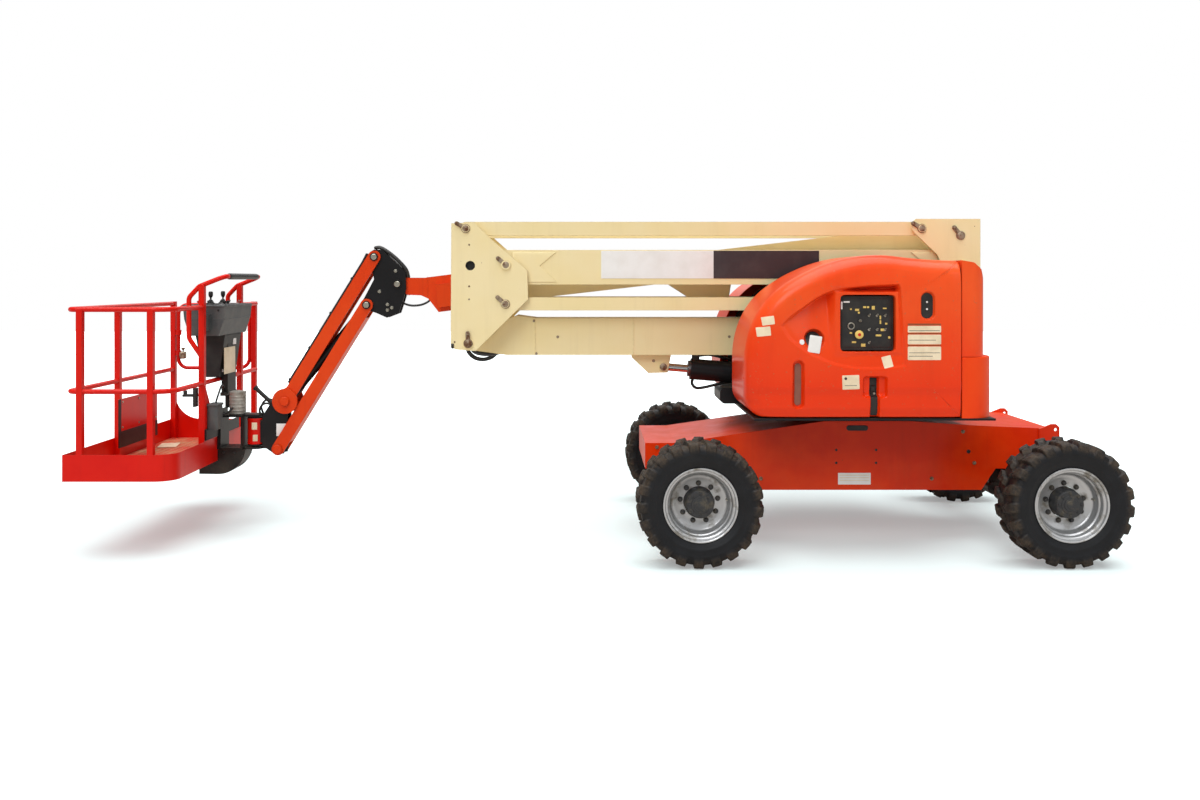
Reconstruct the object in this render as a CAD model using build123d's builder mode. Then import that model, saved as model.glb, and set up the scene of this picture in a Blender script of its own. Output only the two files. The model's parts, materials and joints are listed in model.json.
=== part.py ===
"""Articulating boom lift: chassis on four wheels, slewing turntable, folding tower, boom, jib and basket."""

from build123d import *
from math import cos, radians, sin
import os

os.makedirs("parts", exist_ok=True)

# +X runs from the basket to the counterweight, -Y is the side with the ground controls, Z is up.
# Z = 0 is the floor, and X = 0 and Y = 0 are the middle of the folded machine.

# ---- wheels and axles ----
tyre_radius = 408
tyre_width = 300
wheel_bolts = 9
wheel_bolt_circle = 123
wheel_bolt_radius = 7
bead_radius = 222
track_half = 1020
fixed_axle_x = 705
steer_axle_x = 3070
hub_radius = 100
spindle_radius = 50
shaft_clearance = 0.08
axle_beam = 120
kingpin_y = 800
kingpin_radius = 22
arm_length = 160

# ---- chassis ----
chassis_half_width = 450
chassis_wall = 12
chassis_left = 387
chassis_right = 3250
chassis_top = 854
chassis_bottom = 370
over_axle_z = 520
swing_x = 1888
bearing_radius = 385
bearing_height = 28
lug_x = 3266
lug_z = 795
lug_hole_radius = 12
lug_thickness = 16

# ---- turntable and hoods ----
floor_z = 930
floor_thickness = 14
floor_top = floor_z + floor_thickness
hood_left = 1011
hood_right = 2410
hood_inner_y = 356
hood_outer_y = 1030
hood_bottom = 953
hood_wall = 5
hood_shoulder = 95
hood_corner = 130
bulkhead_y = 340
bulkhead_wall = 10
bulkhead_inset = 62
hinge_z = 1955
hinge_y = 372
cover_gap = 10
hood_hinge_x = (1740, 2240)
hood_pin_radius = 7

# ---- tower: two stages of parallel links, level when folded ----
link_length = 3275
tower_pins = {  # X, Z on the middle upright, pin radius, inner end |Y| of each stub
    "upper_links": (-893, 2215, 16, 180),
    "upper_boom": (-604, 1953, 22, 132),
    "lower_links": (-607, 1672.5, 16, 180),
    "lower_boom": (-874, 1390, 22, 0),
}
upright_inner_y = 270
upright_wall = 20
pin_clearance = 0.08

# ---- main boom and fly ----
boom_pivot = (2660, 2165)
boom_slope = 6.6
boom_size = 200
boom_wall = 6
boom_length = 3664
boom_pin_radius = 25
fly_size = 170
fly_wall = 6
fly_start = 1350
pad_clearance = 0.5
lift_base = (2600, 1665)
lift_eye = (950, 1665)

# ---- jib ----
head_pivot = (-1427, 1815)
jib_top = (-1595, 2016)
jib_base_offset = 360
jib_base_tilt = 9
jib_slope = 58.4
jib_length = 1250
jib_bar = 92

# ---- basket ----
basket_front = -3478
basket_back = -2745
basket_half_width = 915
toe_bottom = 515
toe_top = 692
gusset_top = 900
rail_radius = 17
mid_rail_z = 1107
top_rail_z = 1650
rotator_x = -2490


def middle(outline, half_width, plane=Plane.XZ, mode=Mode.ADD):
    """Draws an outline out along Y to the same distance on both sides of the middle."""
    with BuildSketch(plane) as face:
        with BuildLine():
            Polyline(*outline, close=True)
        make_face()
    extrude(face.sketch, amount=half_width, both=True, mode=mode)


def both_sides(outline, inner, outer, plane=Plane.XZ, mode=Mode.ADD):
    """The same outline on both sides of the middle, from |Y| = inner to |Y| = outer."""
    for side in (-1, 1):
        with BuildSketch(plane.offset(side * inner)) as face:
            with BuildLine():
                Polyline(*outline, close=True)
            make_face()
        extrude(face.sketch, amount=side * (outer - inner), mode=mode)


def disc(x, z, radius, start, end, mode=Mode.ADD):
    """A round boss or bore along Y, from start to end."""
    with BuildSketch(Plane.XZ.offset(-start)) as face:
        with Locations((x, z)):
            Circle(radius)
    extrude(face.sketch, amount=start - end, mode=mode)


def both_discs(x, z, radius, inner, outer, mode=Mode.ADD):
    """A round boss or bore on both sides of the middle."""
    disc(x, z, radius, -outer, -inner, mode)
    disc(x, z, radius, inner, outer, mode)


def upright_disc(x, y, radius, low, high, mode=Mode.ADD):
    """A round boss or bore along Z, from low to high."""
    with BuildSketch(Plane.XY.offset(low)) as face:
        with Locations((x, y)):
            Circle(radius)
    extrude(face.sketch, amount=high - low, mode=mode)


def block(x, y, z, mode=Mode.ADD):
    """A box from its lowest and highest X, Y and Z."""
    with Locations(((x[0] + x[1]) / 2, (y[0] + y[1]) / 2, (z[0] + z[1]) / 2)):
        Box(x[1] - x[0], y[1] - y[0], z[1] - z[0], mode=mode)


def line_plane(start, end):
    """A plane in the middle of the machine with its x along a line and its y to the line's upper side."""
    run = ((end[0] - start[0]) ** 2 + (end[1] - start[1]) ** 2) ** 0.5
    ux, uz = (end[0] - start[0]) / run, (end[1] - start[1]) / run
    return Plane(origin=(start[0], 0, start[1]), x_dir=(ux, 0, uz), z_dir=(0, 1 if ux < 0 else -1, 0))


def distance(start, end):
    return ((end[0] - start[0]) ** 2 + (end[1] - start[1]) ** 2) ** 0.5


def round_bar(plane, near, far, radius, mode=Mode.ADD):
    """A round bar along a line plane's x, from near to far."""
    across = Plane(origin=plane.origin + plane.x_dir * near, z_dir=plane.x_dir)
    with BuildSketch(across) as face:
        Circle(radius)
    extrude(face.sketch, amount=far - near, mode=mode)


def box_outline(near, far, low, high):
    return [(near, low), (far, low), (far, high), (near, high)]


def save(part, name):
    part.part.label = name
    export_step(part.part, f"parts/{name}.step")


# ======== chassis ========
chassis_side = [(chassis_left, over_axle_z), (chassis_left, 700), (600, 700), (1650, chassis_top),
                (2250, chassis_top), (2720, 822), (3030, 809), (chassis_right, 800),
                (chassis_right, over_axle_z), (2850, over_axle_z), (2750, chassis_bottom),
                (1000, chassis_bottom), (880, over_axle_z)]
with BuildPart() as chassis_frame:
    middle(chassis_side, chassis_half_width)
    with BuildSketch(Plane.XZ.offset(-(chassis_half_width - chassis_wall))) as hollow:
        with BuildLine():
            Polyline(*chassis_side, close=True)
        make_face()
        offset(amount=-chassis_wall, kind=Kind.INTERSECTION)
    extrude(hollow.sketch, amount=2 * (chassis_half_width - chassis_wall), mode=Mode.SUBTRACT)
    # Three openings in the belly plate, and a round seat for the swing bearing.
    for x in (1250, swing_x, 2450):
        block((x - 130, x + 130), (-180, 180), (chassis_bottom - 5, chassis_bottom + chassis_wall + 5),
              mode=Mode.SUBTRACT)
    upright_disc(swing_x, 0, bearing_radius + 15, chassis_top - 60, chassis_top + 4)
    # Two lashing lugs at the counterweight end.
    both_sides([(3150, 720), (3292, 720), (3292, 812), (3270, 834), (3236, 834), (3150, 800)],
               chassis_half_width, chassis_half_width + lug_thickness)
    both_discs(lug_x, lug_z, lug_hole_radius, chassis_half_width - 1, chassis_half_width + lug_thickness + 1,
               mode=Mode.SUBTRACT)
save(chassis_frame, "chassis_frame")

bearing_z = chassis_top + 4
with BuildPart() as swing_bearing:
    with BuildSketch(Plane.XY.offset(bearing_z)) as ring:
        with Locations((swing_x, 0)):
            Circle(bearing_radius)
            Circle(bearing_radius - 90, mode=Mode.SUBTRACT)
    extrude(ring.sketch, amount=bearing_height)
save(swing_bearing, "swing_bearing")

with BuildPart() as fixed_axle:
    block((fixed_axle_x - 70, fixed_axle_x + 70), (-800, 800), (over_axle_z - axle_beam, over_axle_z))
    both_discs(fixed_axle_x, tyre_radius, 92, 780, 900)
    both_discs(fixed_axle_x, tyre_radius, spindle_radius, 880, track_half + 55)
save(fixed_axle, "fixed_axle")

steer_rod_x = steer_axle_x - arm_length
steer_rod_z = 345
arm_y = 767
with BuildPart() as steer_axle:
    block((steer_axle_x - 60, steer_axle_x + 60), (-715, 715), (over_axle_z - axle_beam, over_axle_z))
    # A fork at each end holds the kingpin, and a bracket holds the steering cylinder.
    for side in (-1, 1):
        y = sorted((side * 700, side * 842))
        for z in ((tyre_radius - 110, tyre_radius - 86), (tyre_radius + 86, tyre_radius + 112)):
            block((steer_axle_x - 42, steer_axle_x + 42), y, z)
            upright_disc(steer_axle_x, side * kingpin_y, kingpin_radius + shaft_clearance,
                         z[0] - 1, z[1] + 1, mode=Mode.SUBTRACT)
        block((steer_axle_x - 10, steer_axle_x + 42), sorted((side * 694, side * 718)),
              (tyre_radius - 110, tyre_radius + 112))
        block((steer_rod_x - 30, steer_axle_x - 50), sorted((side * 215, side * 245)),
              (steer_rod_z - 30, over_axle_z - 30))
    disc(steer_rod_x, steer_rod_z, 45, -270, 270)
    disc(steer_rod_x, steer_rod_z, 16 + shaft_clearance, -280, 280, mode=Mode.SUBTRACT)
save(steer_axle, "steer_axle")

with BuildPart() as steering_rod:
    disc(steer_rod_x, steer_rod_z, 16, -arm_y + 20, arm_y - 20)
    for side in (-1, 1):
        upright_disc(steer_rod_x, side * arm_y, 26, steer_rod_z - 12, steer_rod_z + 12)
save(steering_rod, "steering_rod")

for side, name in ((-1, "near"), (1, "far")):
    with BuildPart() as knuckle:
        upright_disc(steer_axle_x, side * kingpin_y, 45, tyre_radius - 80, tyre_radius + 80)
        upright_disc(steer_axle_x, side * kingpin_y, kingpin_radius, tyre_radius - 116, tyre_radius + 120)
        disc(steer_axle_x, tyre_radius, 75, *sorted((side * 850, side * 900)))
        disc(steer_axle_x, tyre_radius, spindle_radius, *sorted((side * 820, side * (track_half + 55))))
        block((steer_rod_x - 26, steer_axle_x), sorted((side * (arm_y - 22), side * (arm_y + 22))),
              (steer_rod_z + 20, steer_rod_z + 40))
    save(knuckle, f"steering_knuckle_{name}")

# ======== wheels: outlines are radius against distance outward from the wheel's middle ========
tyre_half = tyre_width / 2
tyre_outline = [(bead_radius, -118), (300, 4 - tyre_half), (345, -tyre_half), (385, 18 - tyre_half),
                (tyre_radius, 42 - tyre_half), (tyre_radius, tyre_half - 42), (385, tyre_half - 18),
                (345, tyre_half), (300, tyre_half - 4), (bead_radius, 118)]
rim_outline = [(spindle_radius + shaft_clearance, -22), (hub_radius, -22), (hub_radius, -8), (205, -8),
               (205, -132), (238, -132), (238, -124), (bead_radius - 0.3, -119),
               (bead_radius - 0.3, 119), (238, 124), (238, 132), (205, 132), (205, 8),
               (hub_radius, 8), (hub_radius, 112), (0, 112), (0, 60),
               (spindle_radius + shaft_clearance, 60)]
wheel_places = (  # name, X of the axle, side
    ("front_near", fixed_axle_x, -1),
    ("front_far", fixed_axle_x, 1),
    ("rear_near", steer_axle_x, -1),
    ("rear_far", steer_axle_x, 1),
)
for name, axle_x, side in wheel_places:
    wheel_plane = Plane(origin=(axle_x, side * track_half, tyre_radius), x_dir=(1, 0, 0), z_dir=(0, 0, side))
    turn_axis = Axis((axle_x, side * track_half, tyre_radius), (0, 1, 0))
    with BuildPart() as tyre:
        with BuildSketch(wheel_plane) as section:
            with BuildLine():
                Polyline(*tyre_outline, close=True)
            make_face()
        revolve(section.sketch, axis=turn_axis, revolution_arc=360)
    save(tyre, f"tyre_{name}")
    with BuildPart() as rim:
        with BuildSketch(wheel_plane) as section:
            with BuildLine():
                Polyline(*rim_outline, close=True)
            make_face()
        revolve(section.sketch, axis=turn_axis, revolution_arc=360)
        with Locations(Plane(origin=(axle_x, side * (track_half + 8), tyre_radius), z_dir=(0, side, 0))):
            with PolarLocations(wheel_bolt_circle, wheel_bolts):
                Cylinder(wheel_bolt_radius, 60, mode=Mode.SUBTRACT)
    save(rim, f"wheel_{name}")

# ======== turntable ========
upright_outer_y = upright_inner_y + upright_wall
lower_links_right = (tower_pins["lower_links"][0] + link_length, tower_pins["lower_links"][1])
lower_boom_right = (tower_pins["lower_boom"][0] + link_length, tower_pins["lower_boom"][1])
upper_links_right = (tower_pins["upper_links"][0] + link_length, tower_pins["upper_links"][1])
upper_boom_right = (tower_pins["upper_boom"][0] + link_length, tower_pins["upper_boom"][1])
tower_base = (1750, 1100)
tower_eye = (545, 1200)
tower_cylinder_radius = 78


def stub_pins(place, radius, inner):
    """Short pins on both sides, from inside the links out through the upright, each with a head."""
    both_discs(place[0], place[1], radius, inner, upright_inner_y + 1)
    both_discs(place[0], place[1], radius + 12, upright_outer_y - 1, upright_outer_y + 14)


turntable_plate_bottom = bearing_z + bearing_height + 0.5
with BuildPart() as turntable_frame:
    block((1440, 2440), (-430, 430), (turntable_plate_bottom, floor_z + 1))
    block((1070, 2640), (-1000, 1000), (floor_z, floor_top))
    # Two upright plates carry the lower ends of the tower.
    base_plate = [(2100, floor_top - 1), (2405, floor_top - 1), (2405, 1300), (2480, 1362), (2745, 1600),
                  (2745, 1750), (2600, 1755), (2300, 1470), (2100, 1150)]
    both_sides(base_plate, upright_inner_y, upright_outer_y)
    block((2385, 2405), (-upright_inner_y - 1, upright_inner_y + 1), (floor_top - 1, 1290))
    stub_pins(lower_links_right, tower_pins["lower_links"][2], tower_pins["lower_links"][3])
    disc(*lower_boom_right, tower_pins["lower_boom"][2], -upright_outer_y - 14, upright_outer_y + 14)
    # Ears for the foot of the tower cylinder.
    ear = [(tower_base[0] - 70, floor_top - 1), (tower_base[0] + 80, floor_top - 1),
           (tower_base[0] + 40, 1140), (tower_base[0] - 40, 1140)]
    both_sides(ear, 62, 80)
    disc(*tower_base, 22, -92, 92)
save(turntable_frame, "turntable_frame")

# The hood's side outline is a chain of tangent arcs over the top: each X and Z is where one arc ends.
hood_arcs = ((1052, 1535), (1250, 1797), (1560, 1956), (2010, 2000))
hood_shoulder_z = 1972


def hood_outline(inset, bottom):
    """Sketches the hood's side outline, drawn smaller by inset and cut off at the given height."""
    with BuildSketch(Plane.XZ) as side_face:
        with BuildLine():
            tangent = (0, 1)
            start = (hood_left, 1300)
            for end in hood_arcs:
                arc = TangentArc(start, end, tangent=tangent)
                tangent, start = arc % 1, end
            arc = TangentArc(start, (hood_right, hood_shoulder_z), tangent=tangent)
            Polyline((hood_right, hood_shoulder_z), (hood_right, hood_bottom),
                     (hood_left + hood_corner, hood_bottom))
            TangentArc((hood_left + hood_corner, hood_bottom), (hood_left, hood_bottom + hood_corner),
                       tangent=(-1, 0))
            Line((hood_left, hood_bottom + hood_corner), (hood_left, 1300))
        make_face()
        if inset:
            offset(amount=-inset, kind=Kind.INTERSECTION)
        if bottom:
            with Locations(((hood_left + hood_corner + hood_right - inset) / 2, hood_bottom + inset / 2)):
                Rectangle(hood_right - inset - hood_left - hood_corner, inset + 2 * bottom)
    return side_face.sketch


with BuildPart() as bulkheads:
    for side in (-1, 1):
        extrude(hood_outline(bulkhead_inset, 0).moved(Location((0, side * bulkhead_y, 0))),
                amount=-side * bulkhead_wall)
        block((1200, hood_right - bulkhead_inset), sorted((side * bulkhead_y, side * (bulkhead_y + bulkhead_wall))),
              (floor_top, hood_bottom + bulkhead_inset + 5))
        # Hinge posts with their pins.
        for x in hood_hinge_x:
            y = sorted((side * (bulkhead_y + bulkhead_wall - 1), side * (hinge_y + 12)))
            block((x - 10, x + 10), y, (1895, hinge_z - 25))
            y = sorted((side * (hinge_y - 8), side * (hinge_y + 12)))
            block((x - 10, x + 10), y, (1920, hinge_z))
            with BuildSketch(Plane.YZ.offset(x - 42)) as pin:
                with Locations((side * hinge_y, hinge_z)):
                    Circle(hood_pin_radius)
            extrude(pin.sketch, amount=84)
save(bulkheads, "hood_bulkheads")

panel_x, panel_z = (1633, 1975), (1388, 1740)
panel_face_y = 985
for side, name in ((-1, "near"), (1, "far")):
    with BuildPart() as hollow:
        extrude(hood_outline(hood_wall, 10).moved(Location((0, side * (hood_inner_y - 1), 0))),
                amount=-side * (hood_outer_y - hood_wall - hood_inner_y + 1))
        outer = hollow.faces().sort_by(Axis.Y)[0 if side < 0 else -1]
        fillet([edge for edge in outer.edges() if edge.center().Z > hood_bottom
                and edge.center().X < hood_right - hood_wall - 1], hood_shoulder - hood_wall)
        # The hinge lugs are left standing inside the shell, beside the bulkhead's posts.
        for x in hood_hinge_x:
            for low, high in ((x - 30, x - 15), (x + 15, x + 30)):
                block((low, high), sorted((side * (hood_inner_y - 2), side * (hinge_y + 15))),
                      (hinge_z - 15, 2100), mode=Mode.SUBTRACT)
    with BuildPart() as hood:
        extrude(hood_outline(0, 0).moved(Location((0, side * hood_inner_y, 0))),
                amount=-side * (hood_outer_y - hood_inner_y))
        outer = hood.faces().sort_by(Axis.Y)[0 if side < 0 else -1]
        fillet([edge for edge in outer.edges() if edge.center().Z > hood_bottom + 5
                and edge.center().X < hood_right - 1], hood_shoulder)
        add(hollow.part, mode=Mode.SUBTRACT)
        for x in hood_hinge_x:
            with BuildSketch(Plane.YZ.offset(x - 40)) as bore:
                with Locations((side * hinge_y, hinge_z)):
                    Circle(hood_pin_radius + pin_clearance)
            extrude(bore.sketch, amount=80, mode=Mode.SUBTRACT)
        if side < 0:
            # The window over the ground controls.
            block((panel_x[0] - 12, panel_x[1] + 12), (-hood_outer_y - 5, -hood_outer_y + 40),
                  (panel_z[0] - 12, panel_z[1] + 12), mode=Mode.SUBTRACT)
    save(hood, f"hood_{name}")

with BuildPart() as ground_controls:
    block(panel_x, (-panel_face_y, -panel_face_y + 70), panel_z)
    block((1780, 1830), (-panel_face_y + 20, -panel_face_y + 70), (floor_top, panel_z[0] + 1))
save(ground_controls, "ground_controls")

weight_left, weight_right, weight_top = hood_right + cover_gap, 2658, 1345
with BuildPart() as counterweight:
    block((weight_left, weight_right), (-1000, 1000), (floor_top, weight_top))
    fillet(counterweight.edges().filter_by(Axis.Z).group_by(Axis.X)[-1], 190)
    fillet(counterweight.faces().sort_by(Axis.Z)[-1].edges(), 12)
    # A notch leaves room for the foot of the tower.
    block((weight_left - 1, weight_left + 75), (-310, 310), (floor_top - 1, weight_top + 1), mode=Mode.SUBTRACT)
save(counterweight, "counterweight")

cover_outline = [(weight_left, weight_top), (2594, weight_top), (2594, 1830), (2560, 1915), (2500, 1960),
                 (weight_left, 1974)]
with BuildPart() as rear_cover:
    both_sides(cover_outline, 345, 1000)
    fillet(rear_cover.edges().filter_by(Axis.Z).group_by(Axis.X)[-1].group_by(Axis.Y)[0]
           + rear_cover.edges().filter_by(Axis.Z).group_by(Axis.X)[-1].group_by(Axis.Y)[-1], 120)
    both_sides([(2410, weight_top - 5), (2588, weight_top - 5), (2588, 1828), (2556, 1909), (2498, 1954),
                (2410, 1966)], 340, 875, mode=Mode.SUBTRACT)
save(rear_cover, "rear_cover")

with BuildPart() as front_cover:
    block((946, 1200), (-180, 180), (floor_top, 1060))
    fillet(front_cover.edges().filter_by(Axis.Y).group_by(Axis.X)[0], 40)
save(front_cover, "front_cover")

with BuildPart() as engine:
    block((1300, 1950), (420, 860), (floor_top, 1420))
save(engine, "engine_block")

# ======== tower ========
def link_pair(left, right, half_height, inner, outer, wall, pin):
    """A pair of box-section links with rounded solid ends."""
    outline = box_outline(left[0], right[0], left[1] - half_height, left[1] + half_height)
    both_sides(outline, inner, outer)
    for x in (left[0], right[0]):
        both_discs(x, left[1], half_height, inner, outer)
    both_sides(box_outline(left[0] + 110, right[0] - 110, left[1] - half_height + wall,
                           left[1] + half_height - wall), inner + wall, outer - wall, mode=Mode.SUBTRACT)
    for x in (left[0], right[0]):
        both_discs(x, left[1], pin + pin_clearance, inner - 1, outer + 1, mode=Mode.SUBTRACT)


link_inner_y, link_outer_y = 190, 250
with BuildPart() as lower_tower_links:
    link_pair(tower_pins["lower_links"][:2], lower_links_right, 47, link_inner_y, link_outer_y, 6,
                 tower_pins["lower_links"][2])
save(lower_tower_links, "lower_tower_links")

with BuildPart() as upper_tower_links:
    link_pair(tower_pins["upper_links"][:2], upper_links_right, 50, link_inner_y, link_outer_y, 6,
                 tower_pins["upper_links"][2])
save(upper_tower_links, "upper_tower_links")

beam_inner_y = 140
beam_bottom, beam_top = 1812, 2062
with BuildPart() as upper_tower_boom:
    left, right = tower_pins["upper_boom"], upper_boom_right
    beam = [(left[0] - 96, 1900), (left[0] - 36, beam_bottom), (right[0] + 28, beam_bottom),
            (right[0] + 103, 1890), (right[0] + 98, 2010), (right[0] + 18, beam_top),
            (left[0] - 46, beam_top), (left[0] - 96, 2010)]
    both_sides(beam, beam_inner_y, link_outer_y)
    both_sides(box_outline(left[0] + 200, right[0] - 200, beam_bottom + 6, beam_top - 6),
               beam_inner_y + 6, link_outer_y - 6, mode=Mode.SUBTRACT)
    for x in (left[0], right[0]):
        both_discs(x, left[1], left[2] + pin_clearance, beam_inner_y - 1, link_outer_y + 1, mode=Mode.SUBTRACT)
save(upper_tower_boom, "upper_tower_boom")

lower_half_width = 130
lower_bottom, lower_top = 1295, 1566
tower_ear_inner = 44
with BuildPart() as lower_tower_boom:
    left, right = tower_pins["lower_boom"], lower_boom_right
    middle([(left[0] - 20, 1334), (left[0] + 264, lower_bottom), (2300, lower_bottom), (right[0] + 20, 1332),
            (right[0] + 60, 1390), (right[0] + 40, 1440), (2300, lower_top), (-400, lower_top),
            (-540, 1585), (left[0] - 40, 1435), (left[0] - 60, 1390)], lower_half_width)
    middle(box_outline(-480, 2250, lower_bottom + 8, lower_top - 8), lower_half_width - 8, mode=Mode.SUBTRACT)
    for x in (-200, 1100, 1900):
        upright_disc(x, 0, 45, lower_bottom - 1, lower_bottom + 10, mode=Mode.SUBTRACT)
    for x in (left[0], right[0]):
        both_discs(x, left[1], 46, lower_half_width - 1, upright_inner_y - 5)
        disc(x, left[1], left[2] + pin_clearance, -upright_inner_y, upright_inner_y, mode=Mode.SUBTRACT)
    # The two ears that the tower cylinder pushes on.
    both_sides([(310, lower_bottom + 1), (310, 1270), (430, 1156), (575, 1160), (600, lower_bottom + 1)],
               tower_ear_inner, tower_ear_inner + 18)
    both_discs(*tower_eye, 34, tower_ear_inner + 17, tower_ear_inner + 32)
save(lower_tower_boom, "lower_tower_boom")

with BuildPart() as mid_upright:
    both_sides([(-1000, 1362), (-996, 2252), (-836, 2260), (-719, 2147), (-451, 1913), (-444, 1707),
                (-822, 1335), (-960, 1345)], upright_inner_y, upright_outer_y)
    block((-998, -984), (-upright_inner_y - 1, upright_inner_y + 1), (1364, 1560))
    for name in ("upper_links", "upper_boom", "lower_links"):
        stub_pins(tower_pins[name][:2], tower_pins[name][2], tower_pins[name][3])
    disc(*tower_pins["lower_boom"][:2], tower_pins["lower_boom"][2], -upright_outer_y, upright_outer_y)
    both_discs(*tower_pins["lower_boom"][:2], tower_pins["lower_boom"][2] + 12, upright_outer_y - 1,
               upright_outer_y + 14)
    both_discs(-860, 1948, 34, upright_inner_y - 1, upright_outer_y + 1, mode=Mode.SUBTRACT)
save(mid_upright, "mid_upright")

cheek_inner_y, cheek_wall = 115, 15
with BuildPart() as upper_upright:
    both_sides([(2340, 2284), (2316, 2262), (2312, 2210), (2326, 2187), (2495, 2025), (2560, 1855),
                (2790, 1855), (2802, 1880), (2802, 2284)], upright_inner_y, upright_outer_y)
    both_sides([(2560, 2284), (2802, 2284), (2802, 1880), (2660, 1625), (2600, 1618), (2548, 1650),
                (2552, 1720), (2600, 1860)], cheek_inner_y, cheek_inner_y + cheek_wall)
    block((2790, 2802), (-upright_outer_y, upright_outer_y), (2110, 2284))
    for side in (-1, 1):
        block((2480, 2802), sorted((side * cheek_inner_y, side * upright_outer_y)), (2272, 2284))
    stub_pins(upper_links_right, tower_pins["upper_links"][2], tower_pins["upper_links"][3])
    stub_pins(upper_boom_right, tower_pins["upper_boom"][2], cheek_inner_y + cheek_wall - 1)
    disc(*boom_pivot, boom_pin_radius, -cheek_inner_y - 1, cheek_inner_y + 1)
    disc(*lift_base, 22, -cheek_inner_y - 1, cheek_inner_y + 1)
save(upper_upright, "upper_upright")


def cylinder_pair(name, foot, eye, sizes, foot_half_width, eye_half_width, foot_pin):
    """A hydraulic cylinder along a line in the middle plane, closed: the barrel, then the rod."""
    line = line_plane(foot, eye)
    length = distance(foot, eye)
    with BuildPart() as barrel:
        round_bar(line, sizes["barrel_start"], sizes["barrel_end"], sizes["barrel"])
        disc(*foot, sizes["foot"], -foot_half_width, foot_half_width)
        middle(box_outline(0, sizes["barrel_start"] + 15, -sizes["foot"] * 0.8, sizes["foot"] * 0.8),
               foot_half_width * 0.7, line)
        round_bar(line, sizes["barrel_start"] + 30, sizes["barrel_end"] - sizes["gland"], sizes["bore"],
                  mode=Mode.SUBTRACT)
        round_bar(line, sizes["barrel_start"] + 40, sizes["barrel_end"] + 1, sizes["rod"] + shaft_clearance,
                  mode=Mode.SUBTRACT)
        disc(*foot, foot_pin + pin_clearance, -foot_half_width - 1, foot_half_width + 1, mode=Mode.SUBTRACT)
    save(barrel, f"{name}_cylinder_barrel")
    with BuildPart() as rod:
        round_bar(line, sizes["barrel_start"] + 34, length - 10, sizes["rod"])
        round_bar(line, sizes["barrel_start"] + 34, sizes["barrel_start"] + 64, sizes["bore"] - shaft_clearance)
        disc(*eye, sizes["eye"], -eye_half_width, eye_half_width)
        disc(*eye, sizes["eye"] * 0.55, -eye_half_width - 1, eye_half_width + 1, mode=Mode.SUBTRACT)
    save(rod, f"{name}_cylinder_rod")


tower_sizes = {"barrel": tower_cylinder_radius, "bore": 62, "rod": 29, "foot": 44, "eye": 38,
               "barrel_start": 75, "barrel_end": 1008, "gland": 50}
cylinder_pair("tower", tower_base, tower_eye, tower_sizes, 58, 38, 22)

# ======== main boom and fly: measured along the boom from its pivot ========
slope = radians(boom_slope)
boom_plane = line_plane(boom_pivot, (boom_pivot[0] - cos(slope), boom_pivot[1] - sin(slope)))
boom_half = boom_size / 2
fly_half = fly_size / 2
lift_lug_inner = 46
with BuildPart() as main_boom:
    middle(box_outline(-20, boom_length, -boom_half, boom_half), boom_half, boom_plane)
    bore = boom_half - boom_wall
    middle(box_outline(70, boom_length - 80, -bore, bore), bore, boom_plane, mode=Mode.SUBTRACT)
    # The bore narrows at the mouth, where the wear pads guide the fly.
    pad = fly_half + pad_clearance
    middle(box_outline(boom_length - 90, boom_length + 1, -pad, pad), pad, boom_plane, mode=Mode.SUBTRACT)
    both_discs(*boom_pivot, 48, boom_half - 1, cheek_inner_y - 3)
    disc(*boom_pivot, boom_pin_radius + pin_clearance, -cheek_inner_y, cheek_inner_y, mode=Mode.SUBTRACT)
    both_sides([(1630, -boom_half + 1), (2120, -boom_half + 1), (1835, -332), (1720, -340), (1685, -300)],
               lift_lug_inner, lift_lug_inner + 16, boom_plane)
    both_discs(*lift_eye, 30, lift_lug_inner + 15, lift_lug_inner + 28)
save(main_boom, "main_boom")

lift_sizes = {"barrel": 45, "bore": 36, "rod": 22, "foot": 40, "eye": 34,
              "barrel_start": 60, "barrel_end": 1560, "gland": 40}
cylinder_pair("lift", lift_base, lift_eye, lift_sizes, 60, 38, 22)

fly_end = 3815
nose_half_width = 34
head_pivot_radius = 20
with BuildPart() as fly_boom:
    middle(box_outline(fly_start, fly_end, -fly_half, fly_half), fly_half, boom_plane)
    bore = fly_half - fly_wall
    middle(box_outline(fly_start - 1, fly_end - 12, -bore, bore), bore, boom_plane, mode=Mode.SUBTRACT)
    # Slide blocks at the rear end ride inside the main boom.
    guide = boom_half - boom_wall - pad_clearance
    for low, high in ((-guide, -fly_half + 1), (fly_half - 1, guide)):
        middle(box_outline(fly_start, fly_start + 60, low, high), 60, boom_plane)
    # The nose is a narrow tongue that the jib's head turns on.
    middle([(-1004, 1622), (-1123, 1607), (-1200, 1706), (-1254, 1731), (-1357, 1735), (-1400, 1770),
            (-1400, 1862), (-1226, 1862), (-1160, 1871), (-1004, 1891)], nose_half_width)
    disc(*head_pivot, 56, -nose_half_width, nose_half_width)
    disc(*head_pivot, head_pivot_radius + pin_clearance, -nose_half_width - 1, nose_half_width + 1,
         mode=Mode.SUBTRACT)
save(fly_boom, "fly_boom")

# ======== jib ========
tilt = radians(jib_base_tilt)
jib_angle = radians(jib_slope)
jib_base = (jib_top[0] - jib_base_offset * sin(tilt), jib_top[1] - jib_base_offset * cos(tilt))
jib_step = (-jib_length * cos(jib_angle), -jib_length * sin(jib_angle))
jib_end_top = (jib_top[0] + jib_step[0], jib_top[1] + jib_step[1])
jib_end_base = (jib_base[0] + jib_step[0], jib_base[1] + jib_step[1])
plate_inner_y, plate_outer_y = 40, 52
jib_inner_y, jib_outer_y = 57, 72
jib_pin = 20
jib_half = jib_bar / 2

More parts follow.
